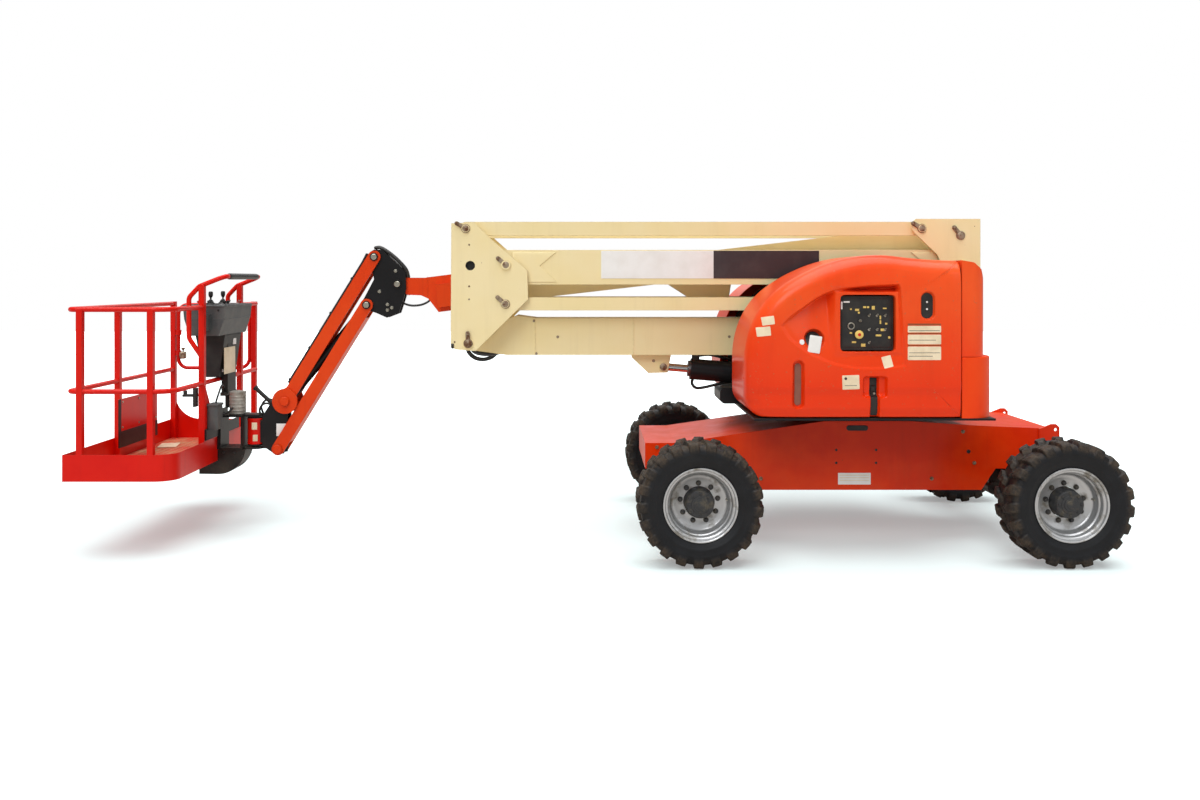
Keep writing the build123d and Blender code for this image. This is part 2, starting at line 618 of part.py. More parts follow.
with BuildPart() as jib_head:
    head = [(-1630, 2052), (-1600, 2070), (-1541, 2070), (-1365, 1905), (-1362, 1780), (-1378, 1712),
            (-1415, 1600), (-1504, 1566), (-1580, 1600), (-1690, 1636), (-1692, 1680), (-1668, 1720),
            (-1600, 1850)]
    both_sides(head, plate_inner_y, plate_outer_y)
    middle([(-1600, 2070), (-1541, 2070), (-1400, 1938), (-1408, 1930), (-1545, 2059), (-1600, 2059)],
           plate_inner_y + 1)
    for pin in (jib_top, jib_base):
        both_discs(*pin, 42, plate_inner_y, plate_outer_y)
        disc(*pin, jib_pin, -jib_outer_y - 3, jib_outer_y + 3)
        both_discs(*pin, jib_pin + 10, jib_outer_y + 2, jib_outer_y + 12)
    disc(*head_pivot, head_pivot_radius, -plate_inner_y - 1, plate_inner_y + 1)
    both_discs(*head_pivot, head_pivot_radius + 12, plate_outer_y - 1, plate_outer_y + 10)
save(jib_head, "jib_head")


def jib_link(start, end, web):
    """Two side plates joined by a web on the outside of the pair."""
    line = line_plane(start, end)
    both_sides(box_outline(0, jib_length, -jib_half, jib_half), jib_inner_y, jib_outer_y, line)
    for pin in (start, end):
        both_discs(*pin, jib_half, jib_inner_y, jib_outer_y)
    middle(box_outline(85, jib_length - 85, *web), jib_outer_y, line)


with BuildPart() as jib_upper_link:
    jib_link(jib_top, jib_end_top, (jib_half - 8, jib_half))
    both_discs(*jib_end_top, jib_half - 2, jib_outer_y - 1, jib_outer_y + 6)
    both_discs(*jib_end_top, 93, jib_outer_y + 5, jib_outer_y + 18)
    for pin in (jib_top, jib_end_top):
        both_discs(*pin, jib_pin + pin_clearance, jib_inner_y - 1, jib_outer_y + 19, mode=Mode.SUBTRACT)
save(jib_upper_link, "jib_upper_link")

with BuildPart() as jib_lower_link:
    jib_link(jib_base, jib_end_base, (-jib_half, -jib_half + 8))
    for pin in (jib_base, jib_end_base):
        both_discs(*pin, jib_pin + pin_clearance, jib_inner_y - 1, jib_outer_y + 1, mode=Mode.SUBTRACT)
save(jib_lower_link, "jib_lower_link")

jib_sizes = {"barrel": 33, "bore": 26, "rod": 17, "foot": 33, "eye": 28,
             "barrel_start": 40, "barrel_end": 888, "gland": 25}
cylinder_pair("jib", jib_base, jib_end_top, jib_sizes, 34, 28, jib_pin)

# ======== platform ========
rotator_radius = 58
rotator_low, rotator_high = 618, 826
bracket_left = -2425
with BuildPart() as platform_bracket:
    both_sides([(bracket_left, 598), (bracket_left, 842), (-2330, 985), (-2240, 995), (-2210, 940),
                (-2236, 870), (-2266, 560), (-2330, 552), (-2396, 598)], plate_inner_y, plate_outer_y)
    block((bracket_left, bracket_left + 14), (-plate_outer_y, plate_outer_y), (598, 842))
    block((rotator_x + 40, bracket_left + 5), (-40, 40), (640, 804))
    for pin, head in ((jib_end_top, jib_outer_y + 18), (jib_end_base, jib_outer_y)):
        both_discs(*pin, 42, plate_inner_y, plate_outer_y)
        both_discs(*pin, jib_pin, plate_inner_y, head + 3)
        both_discs(*pin, jib_pin + 10, head + 2, head + 12)
    upright_disc(rotator_x, 0, rotator_radius, rotator_low, rotator_high)
    upright_disc(rotator_x, 0, 25 + shaft_clearance, rotator_low - 1, rotator_high + 1, mode=Mode.SUBTRACT)
save(platform_bracket, "platform_bracket")

support_right = -2562
mount_face = basket_back
with BuildPart() as platform_support:
    middle(box_outline(mount_face + 12, support_right, 593, 850), 92)
    middle(box_outline(mount_face + 24, support_right - 12, 609, 834), 93, mode=Mode.SUBTRACT)
    for low, high in ((593, 609), (834, 850)):
        block((support_right - 20, rotator_x), (-60, 60), (low, high))
        upright_disc(rotator_x, 0, 60, low, high)
    upright_disc(rotator_x, 0, 25, 600, 840)
    block((mount_face, mount_face + 13), (-100, 100), (600, 890))
    block((mount_face, mount_face + 13), (-352, 352), (toe_top + 8, toe_top + 88))
save(platform_support, "platform_support")

with BuildPart() as canister:
    upright_disc(-2625, 0, 62, 850, 1025)
save(canister, "support_canister")

with BuildPart() as belly_guard:
    with BuildSketch(Plane.XZ) as face:
        with BuildLine():
            Line((-2540, 593), (mount_face, 593))
            Line((mount_face, 593), (mount_face, toe_bottom))
            Line((mount_face, toe_bottom), (-2880, toe_bottom))
            Line((-2880, toe_bottom), (-2880, 416))
            Line((-2880, 416), (-2740, 414))
            TangentArc((-2740, 414), (-2540, 593), tangent=(1, 0))
        make_face()
    extrude(face.sketch, amount=88, both=True)
    block((-2872, -2590), (-80, 80), (470, 600), mode=Mode.SUBTRACT)
save(belly_guard, "belly_guard")

tray_wall = 4
floor_low, floor_high = 530, 536
with BuildPart() as basket_tray:
    length, width = basket_back - basket_front, 2 * basket_half_width
    with BuildSketch(Plane.XY.offset(toe_bottom)) as tray:
        with Locations(((basket_front + basket_back) / 2, 0)):
            Rectangle(length, width)
        back_corners = tray.vertices().group_by(Axis.X)[-1].sort_by(Axis.Y)
        fillet(back_corners[0], 130)
        fillet(tray.vertices().group_by(Axis.X)[-1].sort_by(Axis.Y)[-1], 40)
    extrude(tray.sketch, amount=toe_top - toe_bottom)
    with BuildSketch(Plane.XY.offset(floor_high)) as inside:
        add(tray.sketch.moved(Location((0, 0, floor_high - toe_bottom))))
        offset(amount=-tray_wall, kind=Kind.INTERSECTION)
    extrude(inside.sketch, amount=toe_top, mode=Mode.SUBTRACT)
    extrude(inside.sketch.moved(Location((0, 0, floor_low - floor_high))), amount=-50, mode=Mode.SUBTRACT)
    # The far wall rises in a hollow curve to the corner post.
    with BuildSketch(Plane.XZ.offset(-basket_half_width)) as gusset:
        with BuildLine():
            Line((basket_front, toe_top - 1), (basket_front, gusset_top))
            Line((basket_front, gusset_top), (basket_front + 30, gusset_top))
            TangentArc((basket_front + 30, gusset_top), (basket_front + 240, toe_top), tangent=(0, -1))
            Line((basket_front + 240, toe_top), (basket_front + 240, toe_top - 1))
            Line((basket_front + 240, toe_top - 1), (basket_front, toe_top - 1))
        make_face()
    extrude(gusset.sketch, amount=tray_wall)
save(basket_tray, "basket_tray")

post_half = 20
side_y = basket_half_width - tray_wall - post_half
front_x = basket_front + tray_wall + post_half
back_x = basket_back - tray_wall - post_half
guard_near_y, guard_far_y = -330, 480
post_top = top_rail_z
posts = (  # X, Y, foot, head
    (-3370, -side_y, floor_high, post_top),
    (-2902, -side_y, floor_high, post_top),
    (front_x, -140, floor_high, post_top),
    (front_x, side_y, floor_high, post_top + rail_radius),
    (back_x, guard_near_y, floor_high, 1812),
    (back_x, guard_far_y, floor_high, 1812),
    (back_x - 14, side_y - 14, floor_high, post_top + rail_radius),
)
gate_x = front_x + 40
gate_hinges = (1240, 1410)


def tube(points, radii):
    """A bent round rail along a list of corners, rounded to the given radii."""
    with BuildLine() as path:
        FilletPolyline(*points, radius=radii)
    with BuildSketch(Plane(origin=path.line @ 0, z_dir=path.line % 0)) as ring:
        Circle(rail_radius)
    sweep(ring.sketch, path=path.line)


with BuildPart() as basket_rails:
    for x, y, foot, head in posts:
        block((x - post_half, x + post_half), (y - post_half, y + post_half), (foot, head))
    tube([(back_x, guard_near_y, top_rail_z), (back_x, -side_y, top_rail_z), (front_x, -side_y, top_rail_z),
          (front_x, side_y, top_rail_z)], [110, 60])
    tube([(back_x, side_y - 14, mid_rail_z), (back_x, -side_y, mid_rail_z), (front_x, -side_y, mid_rail_z),
          (front_x, side_y, mid_rail_z)], [110, 60])
    disc(back_x, top_rail_z, rail_radius, guard_far_y, side_y - 14)
    # The guard over the console: two bent arms and a grip between them.
    arm = [(back_x, 1290), (back_x - 95, 1430), (back_x - 95, 1720), (back_x - 20, 1800), (-2610, 1871)]
    tube([(x, guard_near_y, z) for x, z in arm] + [(x, guard_far_y, z) for x, z in reversed(arm)],
         [60, 50, 50, 60, 60, 50, 50, 60])
    # Collars that the gate's hinge tube turns in, and the corner gusset beside the entry.
    for z in gate_hinges:
        upright_disc(gate_x, side_y, 24, z - 20, z + 20)
        block((front_x, gate_x), (side_y - 12, side_y + 12), (z - 20, z + 20))
        upright_disc(gate_x, side_y, 15 + shaft_clearance, z - 21, z + 21, mode=Mode.SUBTRACT)
save(basket_rails, "basket_rails")

with BuildPart() as kick_panel:
    block((front_x + post_half, front_x + post_half + 8), (-200, 490), (620, 975))
save(kick_panel, "front_panel")

gate_end = back_x - 14 - post_half - 22
gate_low, gate_high = mid_rail_z + 10, top_rail_z - 10
with BuildPart() as gate:
    with BuildLine() as path:
        FilletPolyline((gate_x, side_y, gate_high), (gate_end, side_y, gate_high),
                       (gate_end, side_y, gate_low), (gate_x, side_y, gate_low), radius=80, close=True)
    with BuildSketch(Plane(origin=path.line @ 0, z_dir=path.line % 0)) as ring:
        Circle(15)
    sweep(ring.sketch, path=path.line)
save(gate, "basket_gate")

console_low, console_high, console_half = 1440, 1665, 300
pedestal_half, pedestal_foot = 180, 1000
console_plane = Plane.XZ.offset(-(guard_near_y + guard_far_y) / 2)
with BuildPart() as console:
    middle([(-2950, console_high), (-2640, console_high), (-2652, 1560), (-2690, console_low),
            (-2900, console_low), (-2938, 1560)], console_half, console_plane)
    # Brackets out to the posts of the guard.
    reach = (guard_far_y - guard_near_y) / 2 - post_half
    for side in (-1, 1):
        with BuildSketch(console_plane.offset(side * (console_half - 2))) as face:
            with Locations((back_x, 1540)):
                Rectangle(2 * post_half, 120)
        extrude(face.sketch, amount=side * (reach - console_half + 2))
    middle([(-2944, console_high - 6), (-2646, console_high - 6), (-2658, 1560), (-2694, console_low - 1),
            (-2896, console_low - 1), (-2932, 1560)], console_half - 5, console_plane, mode=Mode.SUBTRACT)
save(console, "control_console")

with BuildPart() as pedestal:
    middle([(-2904, console_low), (-2686, console_low), (-2686, console_low - 10), (-2730, 1130),
            (-2840, 1130), (-2900, console_low - 10)], pedestal_half, console_plane)
    # A narrower foot hangs down outside the mid rail.
    middle(box_outline(-2742, -2694, pedestal_foot, 1372), pedestal_half / 2, console_plane)
save(pedestal, "console_pedestal")
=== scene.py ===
import json
import math
from functools import partial
import bmesh
import bpy
import numpy as np
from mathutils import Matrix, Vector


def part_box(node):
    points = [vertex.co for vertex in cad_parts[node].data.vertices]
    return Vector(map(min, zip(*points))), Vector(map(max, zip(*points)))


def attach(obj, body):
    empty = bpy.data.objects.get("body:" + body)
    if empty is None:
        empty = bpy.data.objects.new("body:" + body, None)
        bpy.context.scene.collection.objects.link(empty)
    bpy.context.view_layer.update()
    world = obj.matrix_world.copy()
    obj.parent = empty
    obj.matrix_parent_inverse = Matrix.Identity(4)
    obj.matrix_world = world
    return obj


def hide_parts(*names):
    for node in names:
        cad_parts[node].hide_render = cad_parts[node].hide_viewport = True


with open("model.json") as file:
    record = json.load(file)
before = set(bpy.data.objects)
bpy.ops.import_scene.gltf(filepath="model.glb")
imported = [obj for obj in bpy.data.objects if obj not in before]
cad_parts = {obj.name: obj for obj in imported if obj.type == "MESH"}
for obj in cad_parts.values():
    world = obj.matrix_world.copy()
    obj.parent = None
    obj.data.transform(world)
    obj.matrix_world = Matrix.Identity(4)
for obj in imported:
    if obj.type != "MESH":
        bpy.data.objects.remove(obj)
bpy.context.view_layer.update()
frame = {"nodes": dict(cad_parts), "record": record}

nodes = frame["nodes"]
print("frame loaded:", len(nodes), "nodes")

# The camera stands level, a little under eight metres in front of the machine's middle.
camera = {"place": (0, -7.87, 1.845), "lens": 31.68, "shift": (0.0083, -0.10)}
cameraData = bpy.data.cameras.new("viewCamera")
cameraData.lens = camera["lens"]
cameraData.shift_x, cameraData.shift_y = camera["shift"]
cameraObject = bpy.data.objects.new("viewCamera", cameraData)
cameraObject.location = camera["place"]
cameraObject.rotation_euler = (math.pi / 2, 0, 0)
bpy.context.scene.collection.objects.link(cameraObject)
bpy.context.scene.camera = cameraObject


def toLinear(code):
    # sRGB hex to the linear colour that shaders take
    channels = np.array([int(code[i:i + 2], 16) for i in (1, 3, 5)]) / 255
    linear = np.where(channels <= 0.04045, channels / 12.92, ((channels + 0.055) / 1.055) ** 2.4)
    return (*linear.tolist(), 1.0)


def addNode(tree, kind, settings=None, out=0):
    # one shader node, as one of its outputs. A setting is a property or a socket: on a socket a hex colour is
    # turned to linear, another node's output is linked, and anything else is set
    node = tree.nodes.new("ShaderNode" + kind)
    for key, value in (settings or {}).items():
        if isinstance(key, str) and key not in node.inputs:
            setattr(node, key, value)
        elif isinstance(value, bpy.types.NodeSocket):
            tree.links.new(value, node.inputs[key])
        else:
            node.inputs[key].default_value = toLinear(value) if isinstance(value, str) else value
    return node.outputs[out] if node.outputs else None


def newMaterial(name):
    # a material, the function that adds its nodes, and the place on the piece that its patterns read
    material = bpy.data.materials.new(name)
    material.use_nodes = True
    material.node_tree.nodes.clear()
    node = partial(addNode, material.node_tree)
    return material, node, node("TexCoord", out="Object")


product = {"operation": "MULTIPLY", "use_clamp": True}
larger = {"operation": "MAXIMUM", "use_clamp": True}
colourMix = {"data_type": "RGBA"}


def noiseMask(node, place, scale, low, high, stretch=None, detail=4.0):
    # cloudy noise turned to a mask from 0 to 1 between two of its levels
    if stretch:
        place = node("Mapping", {"Scale": stretch, "Vector": place})
    noise = node("TexNoise", {"Scale": scale, "Detail": detail, "Roughness": 0.6, "Vector": place})
    return node("MapRange", {"From Min": low, "From Max": high, "Value": noise})


def layer(node, under, over, mask, amount):
    # a second colour over the first, where the mask times the amount says
    share = node("Math", {**product, 0: mask, 1: amount})
    return node("Mix", {**colourMix, 0: share, 6: under, 7: over}, 2)


def grainBump(node, place, scale, strength, distance, edgeRadius):
    # fine noise as relief of a height in metres, laid over edges rounded to a radius in metres
    rounded = node("Bevel", {"samples": 4, "Radius": edgeRadius})
    grain = node("TexNoise", {"Scale": scale, "Detail": 2.0, "Vector": place})
    bump = node("Bump", {"Strength": strength, "Distance": distance, "Height": grain, "Normal": rounded})
    return bump, rounded


def finishSurface(node, colour, roughness, normal, settings):
    shader = node("BsdfPrincipled", {**settings, "Base Color": colour, "Roughness": roughness,
                                     "Normal": normal})
    node("OutputMaterial", {"Surface": shader})


# Enamel sprayed on steel: a glossy film that fades in clouds, runs with dirt, holds dust on what faces up
# and chips along its edges, where primer and rust show.
def sprayedEnamel(name, values):
    material, node, place = newMaterial(name)
    facing = node("NewGeometry", out="Normal")
    bump, rounded = grainBump(node, place, 90.0, 0.08, 0.002, values["edgeRadius"])
    fadeAndHighlight = noiseMask(node, place, 1.7, 0.38, 0.66)
    colour = node("Mix", {**colourMix, 0: fadeAndHighlight, 6: values["base"], 7: values["fadeAndHighlight"]}, 2)
    streaks = noiseMask(node, place, 5.0, 0.54, 0.78, (3.0, 3.0, 0.22))
    colour = layer(node, colour, values["dirt"], streaks, values["streaks"])
    clouds = noiseMask(node, place, 7.0, 0.32, 0.72)
    up = node("MapRange", {"From Min": 0.6, "From Max": 0.95, "Value": node("SeparateXYZ", {0: facing}, 2)})
    onTops = node("Math", {**product, 0: node("Math", {**product, 0: up, 1: values["topDust"]}), 1: clouds})
    low = node("MapRange", {"From Min": values["dustTop"], "From Max": values["dustBottom"],
                            "Value": node("SeparateXYZ", {0: place}, 2)})
    lowDown = node("Math", {**product, 0: node("Math", {**product, 0: low, 1: clouds}), 1: values["lowDust"]})
    dust = node("Math", {**larger, 0: onTops, 1: lowDown})
    colour = node("Mix", {**colourMix, 0: dust, 6: colour, 7: values["dust"]}, 2)
    # an edge is where the rounded normal turns away from the face's own
    bend = node("VectorMath", {"operation": "DOT_PRODUCT", 0: rounded, 1: facing}, "Value")
    edge = node("MapRange", {"From Min": 0.97, "From Max": 0.82, "Value": bend})
    chipped = node("Math", {**product, 0: edge, 1: noiseMask(node, place, 28.0, 0.46, 0.56)})
    chipped = node("Math", {**product, 0: chipped, 1: values["wear"]})
    specks = noiseMask(node, place, 46.0, values["specks"], values["specks"] + 0.02, detail=2.0)
    chips = node("Math", {**larger, 0: chipped, 1: specks})
    rusted = noiseMask(node, place, 60.0, 0.4, 0.6)
    bare = node("Mix", {**colourMix, 0: rusted, 6: values["chip"], 7: values["rust"]}, 2)
    colour = node("Mix", {**colourMix, 0: chips, 6: colour, 7: bare}, 2)
    matt = node("Math", {**larger, 0: dust, 1: chips})
    roughness = node("MapRange", {"To Min": values["roughness"], "To Max": 0.85, "Value": matt})
    finishSurface(node, colour, roughness, bump, {"IOR": 1.5, "Specular IOR Level": values["specular"],
                                                  "Coat Weight": values["coat"], "Coat Roughness": 0.12})
    return material


enamel = {"fadeAndHighlight": "#F4E4B4", "dirt": "#A58C5E", "dust": "#B7A17C", "chip": "#6B5A48", "rust": "#7A3E1E",
          "streaks": 0.08, "topDust": 0.35, "lowDust": 0.0, "dustTop": 1.0, "dustBottom": 0.3, "wear": 0.55,
          "specks": 0.78, "roughness": 0.36, "specular": 0.2, "coat": 0.07, "edgeRadius": 0.004}
creamEnamel = sprayedEnamel("creamEnamel", {**enamel, "base": "#F1DFA8"})
chassisEnamel = sprayedEnamel("chassisEnamel", {
    **enamel, "base": "#DE2C00", "fadeAndHighlight": "#EE3E04", "dirt": "#A82A08", "dust": "#C8704A", "topDust": 0.42,
    "lowDust": 0.12, "dustTop": 0.66, "dustBottom": 0.36, "chip": "#7D4030", "streaks": 0.16,
    "roughness": 0.34})
basketEnamel = sprayedEnamel("basketEnamel", {
    **enamel, "base": "#D40E04", "fadeAndHighlight": "#E01A06", "dirt": "#7E110C", "dust": "#B56A55", "topDust": 0.3,
    "chip": "#8C7467", "rust": "#5A2A18", "streaks": 0.18, "wear": 0.8, "roughness": 0.3,
    "edgeRadius": 0.002})
jibEnamel = sprayedEnamel("jibEnamel", {
    **enamel, "base": "#DC3A04", "fadeAndHighlight": "#E4480E", "dirt": "#7A2A12", "dust": "#C98A66", "topDust": 0.25,
    "chip": "#5B3424", "streaks": 0.2, "wear": 0.7, "edgeRadius": 0.003})
blackEnamel = sprayedEnamel("blackEnamel", {
    **enamel, "base": "#141416", "fadeAndHighlight": "#1F1F22", "dirt": "#2E2A26", "dust": "#7C7263", "topDust": 0.4,
    "lowDust": 0.4, "dustTop": 0.7, "dustBottom": 0.3, "chip": "#55524E", "streaks": 0.25, "roughness": 0.42,
    "coat": 0.1, "edgeRadius": 0.003})
weightEnamel = sprayedEnamel("weightEnamel", {
    **enamel, "base": "#EE3C02", "fadeAndHighlight": "#F24A0A", "dirt": "#B0380E", "dust": "#D98A62", "topDust": 0.3,
    "chip": "#8C3F22", "streaks": 0.2, "roughness": 0.38, "edgeRadius": 0.006})


# Gel-coated moulding: glass-fibre hood with a wet, even gloss and soft edges; its upper side is painted
# lighter, a painted highlight for the top light.
def gelCoat(name, values):
    material, node, place = newMaterial(name)
    # painted highlight: lighter colour in clouds towards the top of the hood, where the top light falls
    paintedHighlight = node("MapRange", {"From Min": values["highlightFrom"], "From Max": values["highlightTo"],
                            "Value": node("SeparateXYZ", {0: place}, 2)})
    colour = layer(node, values["base"], values["fadeAndHighlight"], paintedHighlight, noiseMask(node, place, 1.3, 0.2, 0.6))
    runs = noiseMask(node, place, 4.0, 0.5, 0.8, (2.0, 2.0, 0.3))
    colour = layer(node, colour, values["dirt"], runs, values["runs"])
    specks = noiseMask(node, place, 55.0, 0.66, 0.7, detail=2.0)
    colour = layer(node, colour, values["dust"], specks, values["specks"])
    ripple = grainBump(node, place, 6.0, 0.06, 0.01, values["edgeRadius"])[0]
    finishSurface(node, colour, values["roughness"], ripple,
                  {"IOR": 1.5, "Specular IOR Level": 0.22, "Coat Weight": 0.15, "Coat Roughness": 0.1})
    return material


# the hood's painted highlight rises from Z 1.15 to 1.75
hoodGelCoat = gelCoat("hoodGelCoat", {"base": "#EC3600", "fadeAndHighlight": "#F65A22", "dirt": "#B02C04",
                                      "dust": "#C9653F", "highlightFrom": 1.15, "highlightTo": 1.75, "runs": 0.16,
                                      "specks": 0.5, "roughness": 0.34, "edgeRadius": 0.004})


# Bare or plated metal: turned, drawn or galvanised, with fine grain and a rust or dirt film.
def workedMetal(name, values):
    material, node, place = newMaterial(name)
    film = noiseMask(node, place, values["filmScale"], values["filmFrom"], values["filmFrom"] + 0.16)
    colour = node("Mix", {**colourMix, 0: film, 6: values["base"], 7: values["film"]}, 2)
    roughness = node("MapRange", {"To Min": values["roughness"], "To Max": values["filmRoughness"],
                                  "Value": film})
    grain = grainBump(node, place, 220.0, 0.12, 0.001, values["edgeRadius"])[0]
    finishSurface(node, colour, roughness, grain, {"Metallic": values["metallic"]})
    return material


metal = {"metallic": 1.0, "filmScale": 30.0, "filmFrom": 0.5, "roughness": 0.3, "filmRoughness": 0.7,
         "edgeRadius": 0.0015}
hardChrome = workedMetal("hardChrome", {**metal, "base": "#C9CBCD", "film": "#8F8F8C", "filmFrom": 0.6,
                                        "roughness": 0.12, "filmRoughness": 0.4})
rustedPin = workedMetal("rustedPin", {**metal, "base": "#A3937E", "film": "#6E4A32", "filmFrom": 0.46,
                                      "metallic": 0.55, "roughness": 0.5})
zincPlate = workedMetal("zincPlate", {**metal, "base": "#B9B6AA", "film": "#8B8576", "filmScale": 40.0})
machinedSteel = workedMetal("machinedSteel", {**metal, "base": "#77777A", "film": "#4A443C",
                                              "roughness": 0.4})
rimSilver = workedMetal("rimSilver", {**metal, "base": "#C4C6C8", "film": "#8E8A82", "metallic": 0.75,
                                      "filmScale": 11.0, "filmFrom": 0.52, "roughness": 0.38})
hubIron = workedMetal("hubIron", {**metal, "base": "#3A3B3D", "film": "#5B564C", "metallic": 0.4,
                                  "filmScale": 16.0, "roughness": 0.5})
castAluminium = workedMetal("castAluminium", {**metal, "base": "#B4B1A9", "film": "#918B80", "metallic": 0.5,
                                              "filmScale": 14.0, "roughness": 0.55})

plastic = {"filmScale": 9.0, "amount": 0.5, "grain": 300.0, "bump": 0.15, "roughness": 0.5,
           "edgeRadius": 0.002}


# Moulded plastic and vinyl: even colour with a fine grain, dulled by a film of dust.
def mouldedPlastic(name, base, filmColour, **changes):
    values = {**plastic, **changes}
    material, node, place = newMaterial(name)
    film = noiseMask(node, place, values["filmScale"], 0.42, 0.7)
    colour = layer(node, base, filmColour, film, values["amount"])
    grain = grainBump(node, place, values["grain"], values["bump"], 0.001, values["edgeRadius"])[0]
    finishSurface(node, colour, values["roughness"], grain, {"IOR": 1.5})
    return material


greyAbs = mouldedPlastic("greyAbs", "#4B5052", "#6B6B66")
blackAbs = mouldedPlastic("blackAbs", "#161617", "#3B3934")
rubberHose = mouldedPlastic("rubberHose", "#121214", "#3A362F", roughness=0.45)
paleVinyl = mouldedPlastic("paleVinyl", "#F3E2C2", "#CDB894", amount=0.6, roughness=0.4)
whiteVinyl = mouldedPlastic("whiteVinyl", "#F4F4F2", "#DAD7CF", amount=0.3, roughness=0.35)
darkVinyl = mouldedPlastic("darkVinyl", "#3A2B2E", "#4C3E3E", roughness=0.4)
yellowVinyl = mouldedPlastic("yellowVinyl", "#E9C86A", "#B59A58", roughness=0.4)
orangeVinyl = mouldedPlastic("orangeVinyl", "#9C4A1E", "#7A4A30", roughness=0.4)
redKnob = mouldedPlastic("redKnob", "#C8160F", "#7A1A14", roughness=0.3)
amberLens = mouldedPlastic("amberLens", "#8C5A4A", "#6B4338", roughness=0.25)
print("materials made:", len(bpy.data.materials))


def gridQuads(rows, columns, wrapRows=False, wrapColumns=False):
    # the four corners of every cell of a rows by columns grid of points
    i, j = np.meshgrid(np.arange(rows if wrapRows else rows - 1),
                       np.arange(columns if wrapColumns else columns - 1), indexing="ij")
    i2, j2 = (i + 1) % rows, (j + 1) % columns
    corners = [i * columns + j, i2 * columns + j, i2 * columns + j2, i * columns + j2]
    return np.stack(corners, -1).reshape(-1, 4)


def joined(parts):
    # several (points, quads) pairs as one, the vertex numbers moved on
    starts = np.cumsum([0] + [len(points) for points, _ in parts[:-1]])
    return (np.concatenate([points for points, _ in parts]),
            np.concatenate([quads + start for (_, quads), start in zip(parts, starts)]))


def fillMesh(mesh, points, quads):
    mesh.vertices.add(len(points))
    mesh.vertices.foreach_set("co", np.asarray(points, np.float32).ravel())
    mesh.loops.add(quads.size)
    mesh.loops.foreach_set("vertex_index", quads.astype(np.int32).ravel())
    mesh.polygons.add(len(quads))
    mesh.polygons.foreach_set("loop_start", np.arange(0, quads.size, 4, dtype=np.int32))
    mesh.update(calc_edges=True)


def addPiece(name, shape, material, body, angle=35, turn=True, values=None):
    # a mesh from points and quads: doubles merged, faces turned outwards, smooth up to an angle in degrees
    mesh = bpy.data.meshes.new(name)
    fillMesh(mesh, *shape)
    for label, numbers in (values or {}).items():
        stored = mesh.attributes.new(label, "FLOAT", "POINT")
        stored.data.foreach_set("value", np.asarray(numbers, np.float32).ravel())
    work = bmesh.new()
    work.from_mesh(mesh)
    bmesh.ops.remove_doubles(work, verts=work.verts, dist=2e-5)
    bmesh.ops.dissolve_degenerate(work, edges=work.edges, dist=1e-6)
    if turn:
        bmesh.ops.recalc_face_normals(work, faces=work.faces)
    work.to_mesh(mesh)
    work.free()
    mesh.shade_smooth()
    mesh.set_sharp_from_angle(angle=math.radians(angle))
    mesh.materials.append(material)
    made = bpy.data.objects.new(name, mesh)
    bpy.context.scene.collection.objects.link(made)
    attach(made, body)
    return made


def unit(vector):
    vector = np.asarray(vector, float)
    return vector / np.linalg.norm(vector, axis=-1, keepdims=True)


def turned(profile, centres, axis, sides=32, sixSided=(), phase=0.0):
    # a profile of (radius, height) turned round an axis at each centre:
    # point = centre + axis * height + (across * cos a + up * sin a) * radius; a six-sided row divides its
    # radius by the cosine of the angle to the nearest flat
    profile, centres = np.asarray(profile, float), np.atleast_2d(np.asarray(centres, float))
    axis = np.broadcast_to(unit(axis), centres.shape)
    helper = np.where(np.abs(axis[:, 2:]) > 0.9, (1.0, 0, 0), (0, 0, 1.0))
    across = unit(np.cross(helper, axis))
    up = np.cross(axis, across)
    angles = np.arange(sides) / sides * 2 * np.pi + phase
    radii = np.repeat(profile[:, :1], sides, 1)
    flat = np.cos(np.pi / 6) / np.cos(np.mod(angles, np.pi / 3) - np.pi / 6)
    for row in sixSided:
        radii[row] *= flat
    around = across[:, None] * np.cos(angles)[None, :, None] + up[:, None] * np.sin(angles)[None, :, None]
    points = (centres[:, None, None] + axis[:, None, None] * profile[None, :, 1, None, None]
              + around[:, None] * radii[None, :, :, None])
    quads = gridQuads(len(profile), sides, wrapColumns=True)
    step = np.arange(len(centres))[:, None, None] * len(profile) * sides
    return points.reshape(-1, 3), (quads[None] + step).reshape(-1, 4)


def bolts(centres, axis, across=0.019, height=0.012):
    # washer, then a six-sided head with a domed end; rows 3 to 5 are six-sided
    radius = across / 2
    profile = [(0, 0), (radius * 1.45, 0), (radius * 1.45, height * 0.22), (radius * 1.05, height * 0.24),
               (radius * 1.12, height * 0.32), (radius * 1.1, height * 0.86), (radius * 0.88, height),
               (0, height)]
    return turned(profile, centres, axis, sides=18, sixSided=(3, 4, 5))


wheels = {"front_near": -1, "front_far": 1, "rear_near": -1, "rear_far": 1}
# Lengths in metres from the axle or the middle plane; slant, shares and edge are parts of one lug's pitch.
tread = {"around": 600, "lugs": 21, "lugDepth": 0.023, "lugShare": 0.54, "slant": 0.55,
         "shoulderDepth": 0.011, "centreBand": 0.022, "outer": 0.408, "halfWidth": 0.118, "crown": 0.3845,
         "crownHalf": 0.1045, "lugEdge": 0.085, "notchAt": 0.062, "notchDepth": 0.55, "zoneFrom": 0.336,
         "zoneTo": 0.352, "shoulderFrom": 0.358, "shoulderTo": 0.3804, "wear": 0.0012}
